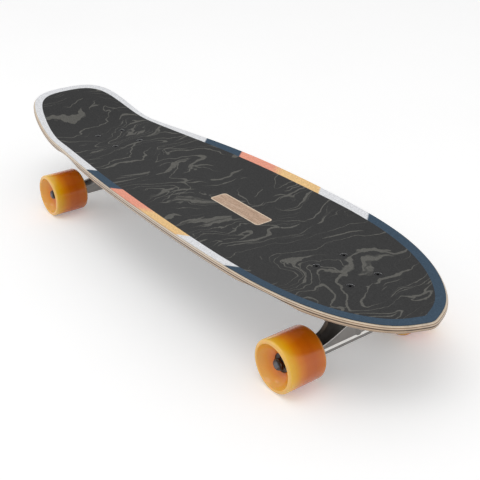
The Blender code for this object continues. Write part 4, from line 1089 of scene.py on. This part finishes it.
for where, truck in TRUCKS.items():
    body = f"{where}_truck_hanger"
    fitted(axle, f"{where}_steel_axle", truck, body, f"{where}_axle")
    for side in (1, -1):
        outward = truck @ Matrix.Rotation(-side * math.pi / 2, 4, "X")
        seat = outward @ Matrix.Translation((0, 0, AXLE_NUT_Y))
        corner = f"{where}_{hand_of(seat)}"
        fitted(axle_nut, f"{corner}_axle_lock_nut", seat, body, f"{corner}_axle_nut")
        for kind, along in SPEED_WASHERS.items():
            fitted(speed_washer, f"{corner}_{kind}_speed_washer", outward @ Matrix.Translation((0, 0, along)),
                   body)
        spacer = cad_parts[f"{corner}_spacer"]
        spacer.data.materials.clear()
        spacer.data.materials.append(zinc_steel)
put_away(axle, speed_washer, axle_nut)

# -----------------------------------------------------------------------------
# Wheels and bearings
# Soft, clear amber urethane cast round a core, 62 mm across, with round lips and a deep hollow in the outer
# face. Two shielded ball bearings are pressed into each wheel.
WHEEL_RADIUS = 0.031
WHEEL_HALF = 0.026
WHEEL_SIDES = 128
CORE_BORE = 0.0085
CORE_LOW = -0.0024
CORE_HIGH = 0.0056
BEARING_RADIUS = 0.0110
BEARING_WIDTH = 0.0070
BEARING_EASE = 0.0004
OUTER_BEARING = 0.0059
INNER_BEARING = -0.0097
SHIELD_INNER = 0.0063
SHIELD_OUTER = 0.0094
HOLLOW_FLOOR_RADIUS = 0.0132
HOLLOW_MOUTH_RADIUS = 0.0258
HOLLOW_PULL = (0.0226, 0.0164)
HOLLOW_STEPS = 14
TREAD_STEPS = 12


def wheel_section():
    """Wheel's section: bearing seats and core, outer hollow, lips and tread, inner flank."""
    seat = BEARING_RADIUS + GAP
    floor, inner_floor = OUTER_BEARING + BEARING_WIDTH, INNER_BEARING
    section = [
        (CORE_BORE, CORE_LOW), (CORE_BORE, CORE_HIGH), (seat, CORE_HIGH), (seat, floor - 0.0002),
        (seat + 0.0002, floor), (HOLLOW_FLOOR_RADIUS - 0.0006, floor), (HOLLOW_FLOOR_RADIUS, floor + 0.0005)]
    foot = Vector(section[-1])
    mouth = Vector((HOLLOW_MOUTH_RADIUS, WHEEL_HALF - 0.0012))
    for step in range(1, HOLLOW_STEPS):
        share = step / HOLLOW_STEPS
        section.append(tuple(
            (1 - share) ** 2 * foot + 2 * share * (1 - share) * Vector(HOLLOW_PULL) + share ** 2 * mouth))
    lips = rounded([
        (HOLLOW_MOUTH_RADIUS + 0.0005, WHEEL_HALF, 0.0010), (WHEEL_RADIUS, WHEEL_HALF, 0.0030),
        (WHEEL_RADIUS, -WHEEL_HALF, 0.0052), (0.0233, -WHEEL_HALF, 0.0012),
        (0.0138, inner_floor - 0.0003, 0.0)], 10)
    for before, after in zip(lips, lips[1:]):
        section.append(before)
        if abs(before[1] - after[1]) > WHEEL_HALF:
            section += [(WHEEL_RADIUS, before[1] + (after[1] - before[1]) * step / TREAD_STEPS)
                        for step in range(1, TREAD_STEPS)]
    return section + [
        lips[-1], (seat + 0.0003, inner_floor), (seat, inner_floor + 0.0002), (seat, CORE_LOW)]


def wheel_material():
    """Clear amber urethane, bright where it is thin and dark over the core, read from the wheel's own map."""
    material, tree, shader = new_material(
        "wheel_urethane", 0.30, Subsurface_Weight=0.22, Subsurface_Scale=0.005,
        Subsurface_Radius=(1.0, 0.38, 0.06), Coat_Weight=0.28, Coat_Roughness=0.05, IOR=1.48)
    marks = own_map(tree)
    clouds = grain(tree, 90.0, 28.0, 0.7)
    shift = maths(tree, "MULTIPLY", maths(tree, "SUBTRACT", clouds, 0.5), 0.06)
    tread = ramp(tree, maths(tree, "ADD", marks["X"], shift), [
        (0.02, paint(240, 150, 40)), (0.12, paint(222, 116, 6)), (0.34, paint(206, 98, 0)),
        (0.54, paint(210, 104, 0)), (0.68, paint(228, 130, 0)), (0.83, paint(240, 170, 0)),
        (0.95, paint(246, 192, 50)), (1.0, paint(248, 200, 110))])
    hollow = ramp(tree, marks["Y"], [
        (0.38, paint(222, 112, 12)), (0.52, paint(234, 136, 24)), (0.66, paint(240, 156, 36)),
        (0.80, paint(246, 182, 76)), (0.90, paint(248, 192, 94))])
    on_face = ramp(tree, marks["Y"], [(0.93, 1.0), (0.995, 0.0)])
    colour = colour_mix(tree, on_face, tread, hollow)
    dust = ramp(tree, grain(tree, 700.0, 60.0, 0.6), [(0.3, 0.94), (0.7, 1.03)])
    colour = colour_mix(tree, 1.0, colour, dust, "MULTIPLY")
    uneven = maths(tree, "MULTIPLY_ADD", clouds, 0.16, 0.14)
    feed(tree, shader, Base_Color=colour, Roughness=uneven,
         Normal=bump(tree, grain(tree, 500.0, 90.0, 0.5), 0.00003, 0.5))
    return material


wheel = turned("wheel", wheel_section(), WHEEL_SIDES, True)
# The map tells the place along the axle and the distance from it, as shares of the wheel's
wheel_map = wheel.data.uv_layers.active or wheel.data.uv_layers.new(name="UVMap")
for corner in wheel.data.loops:
    x, y, z = wheel.data.vertices[corner.vertex_index].co
    wheel_map.data[corner.index].uv = (z / (2 * WHEEL_HALF) + 0.5, math.hypot(x, y) / WHEEL_RADIUS)
finish_mesh(wheel, wheel_material(), 50)

bearing_steel = metal_material("bearing_steel", paint(74, 74, 78), 0.22, 1800.0, 0.00001, 0.3)
bearing = ring("bearing", AXLE_BORE, BEARING_RADIUS, 0.0, BEARING_WIDTH, BEARING_EASE, bearing_steel)
for level in (0.0, BEARING_WIDTH):
    low, high = level - 0.0004, level + 0.0004
    machine(bearing, turned("shield_groove", [
        (SHIELD_INNER, low), (SHIELD_OUTER, low), (SHIELD_OUTER, high), (SHIELD_INNER, high)], 64, True))
finish_mesh(bearing, bearing_steel)
bearing.data.materials.append(plastic_material("bearing_shield", paint(36, 36, 38), 0.38))
for face in bearing.data.polygons:
    corners = [bearing.data.vertices[index].co for index in face.vertices]
    sunk = all(0.00035 < corner.z < BEARING_WIDTH - 0.00035 for corner in corners)
    if sunk and all(SHIELD_INNER - 0.0001 < corner.xy.length < SHIELD_OUTER + 0.0001 for corner in corners):
        face.material_index = 1
for where, truck in TRUCKS.items():
    for side in (1, -1):
        hub = truck @ Matrix.Rotation(-side * math.pi / 2, 4, "X") @ Matrix.Translation((0, 0, WHEEL_Y))
        corner = f"{where}_{hand_of(hub)}"
        body = f"{corner}_rolling_wheel"
        fitted(wheel, f"{corner}_amber_wheel", hub, body, f"{corner}_wheel")
        for kind, level in (("outer", OUTER_BEARING), ("inner", INNER_BEARING)):
            fitted(bearing, f"{corner}_{kind}_ball_bearing", hub @ Matrix.Translation((0, 0, level)), body,
                   f"{corner}_{kind}_bearing")
put_away(wheel, bearing)

# -----------------------------------------------------------------------------
# Studio
# A pale floor that runs out into a backdrop as pale, a large soft lamp overhead and a small one from the
# left, and the camera where the photograph was taken from, above the nose on the right-hand side.
FLOOR_SIZE = 40.0
FLOOR_GLOW = 0.25
SKY_LIGHT = 0.70
SKY_GLOW = 0.21
# Place, size and power of each lamp
LAMPS = {
    "overhead_lamp": ((0.3, -0.5, 2.1), 1.3, 7.2),
    "side_lamp": ((-1.3, -1.7, 1.3), 0.7, 2.5)}
LAMPS_AIM = Vector((0, 0, 0.08))
CAMERA_AZIMUTH = math.radians(53.24917)
CAMERA_ELEVATION = math.radians(27.69875)
CAMERA_DISTANCE = 1.10458
CAMERA_SHIFT = (0.03354, -0.06081)
CAMERA_VIEW = math.radians(31.74058)
CAMERA_AIM = Vector((0.02625, 0.0, 0.1012))


def seen_directly(tree):
    """One for the rays that the camera, metal and glass see by, and zero for those that light the object."""
    paths = add_node(tree, "ShaderNodeLightPath").outputs
    mirrored = maths(tree, "MAXIMUM", paths["Is Glossy Ray"], paths["Is Transmission Ray"])
    return maths(tree, "MAXIMUM", paths["Is Camera Ray"], mirrored)


bpy.ops.mesh.primitive_plane_add(size=FLOOR_SIZE)
floor = bpy.context.object
floor.name = "studio_floor"
floor_paint, tree, shader = new_material("floor_paint", 0.9, Emission_Color=(1.0, 1.0, 1.0, 1.0))
shade = noise(tree, stretched(tree, (1, 1, 1)), 3.0, 2.0)
feed(tree, shader, Base_Color=ramp(tree, shade, [(0.0, paint(243, 243, 243)), (1.0, paint(247, 247, 247))]),
     Emission_Strength=maths(tree, "MULTIPLY", seen_directly(tree), FLOOR_GLOW))
floor.data.materials.append(floor_paint)

world = bpy.data.worlds.new("studio")
bpy.context.scene.world = world
world.use_nodes = True
sky = world.node_tree
backdrop = sky.nodes["Background"]
backdrop.inputs["Color"].default_value = (1.0, 1.0, 1.0, 1.0)
strength = maths(sky, "MULTIPLY_ADD", seen_directly(sky), SKY_GLOW, SKY_LIGHT)
sky.links.new(strength, backdrop.inputs["Strength"])

for name, (place, size, power) in LAMPS.items():
    bpy.ops.object.light_add(type="AREA", location=place)
    lamp = bpy.context.object
    lamp.name = name
    lamp.data.size = size
    lamp.data.energy = power
    lamp.rotation_mode = "QUATERNION"
    lamp.rotation_quaternion = (Vector(place) - LAMPS_AIM).to_track_quat("Z", "Y")

level = math.cos(CAMERA_ELEVATION)
back = Vector((
    math.sin(CAMERA_AZIMUTH) * level, -math.cos(CAMERA_AZIMUTH) * level, math.sin(CAMERA_ELEVATION)))
right = (-back).cross(Vector((0, 0, 1))).normalized()
up = right.cross(-back)
bpy.ops.object.camera_add()
camera = bpy.context.object
camera.name = "photographer"
stand = CAMERA_AIM + back * CAMERA_DISTANCE + right * CAMERA_SHIFT[0] + up * CAMERA_SHIFT[1]
camera.matrix_world = Matrix.Translation(stand) @ Matrix((right, up, back)).transposed().to_4x4()
camera.data.angle = CAMERA_VIEW
camera.data.clip_start = 0.01
bpy.context.scene.camera = camera
bpy.context.scene.view_settings.view_transform = "Standard"
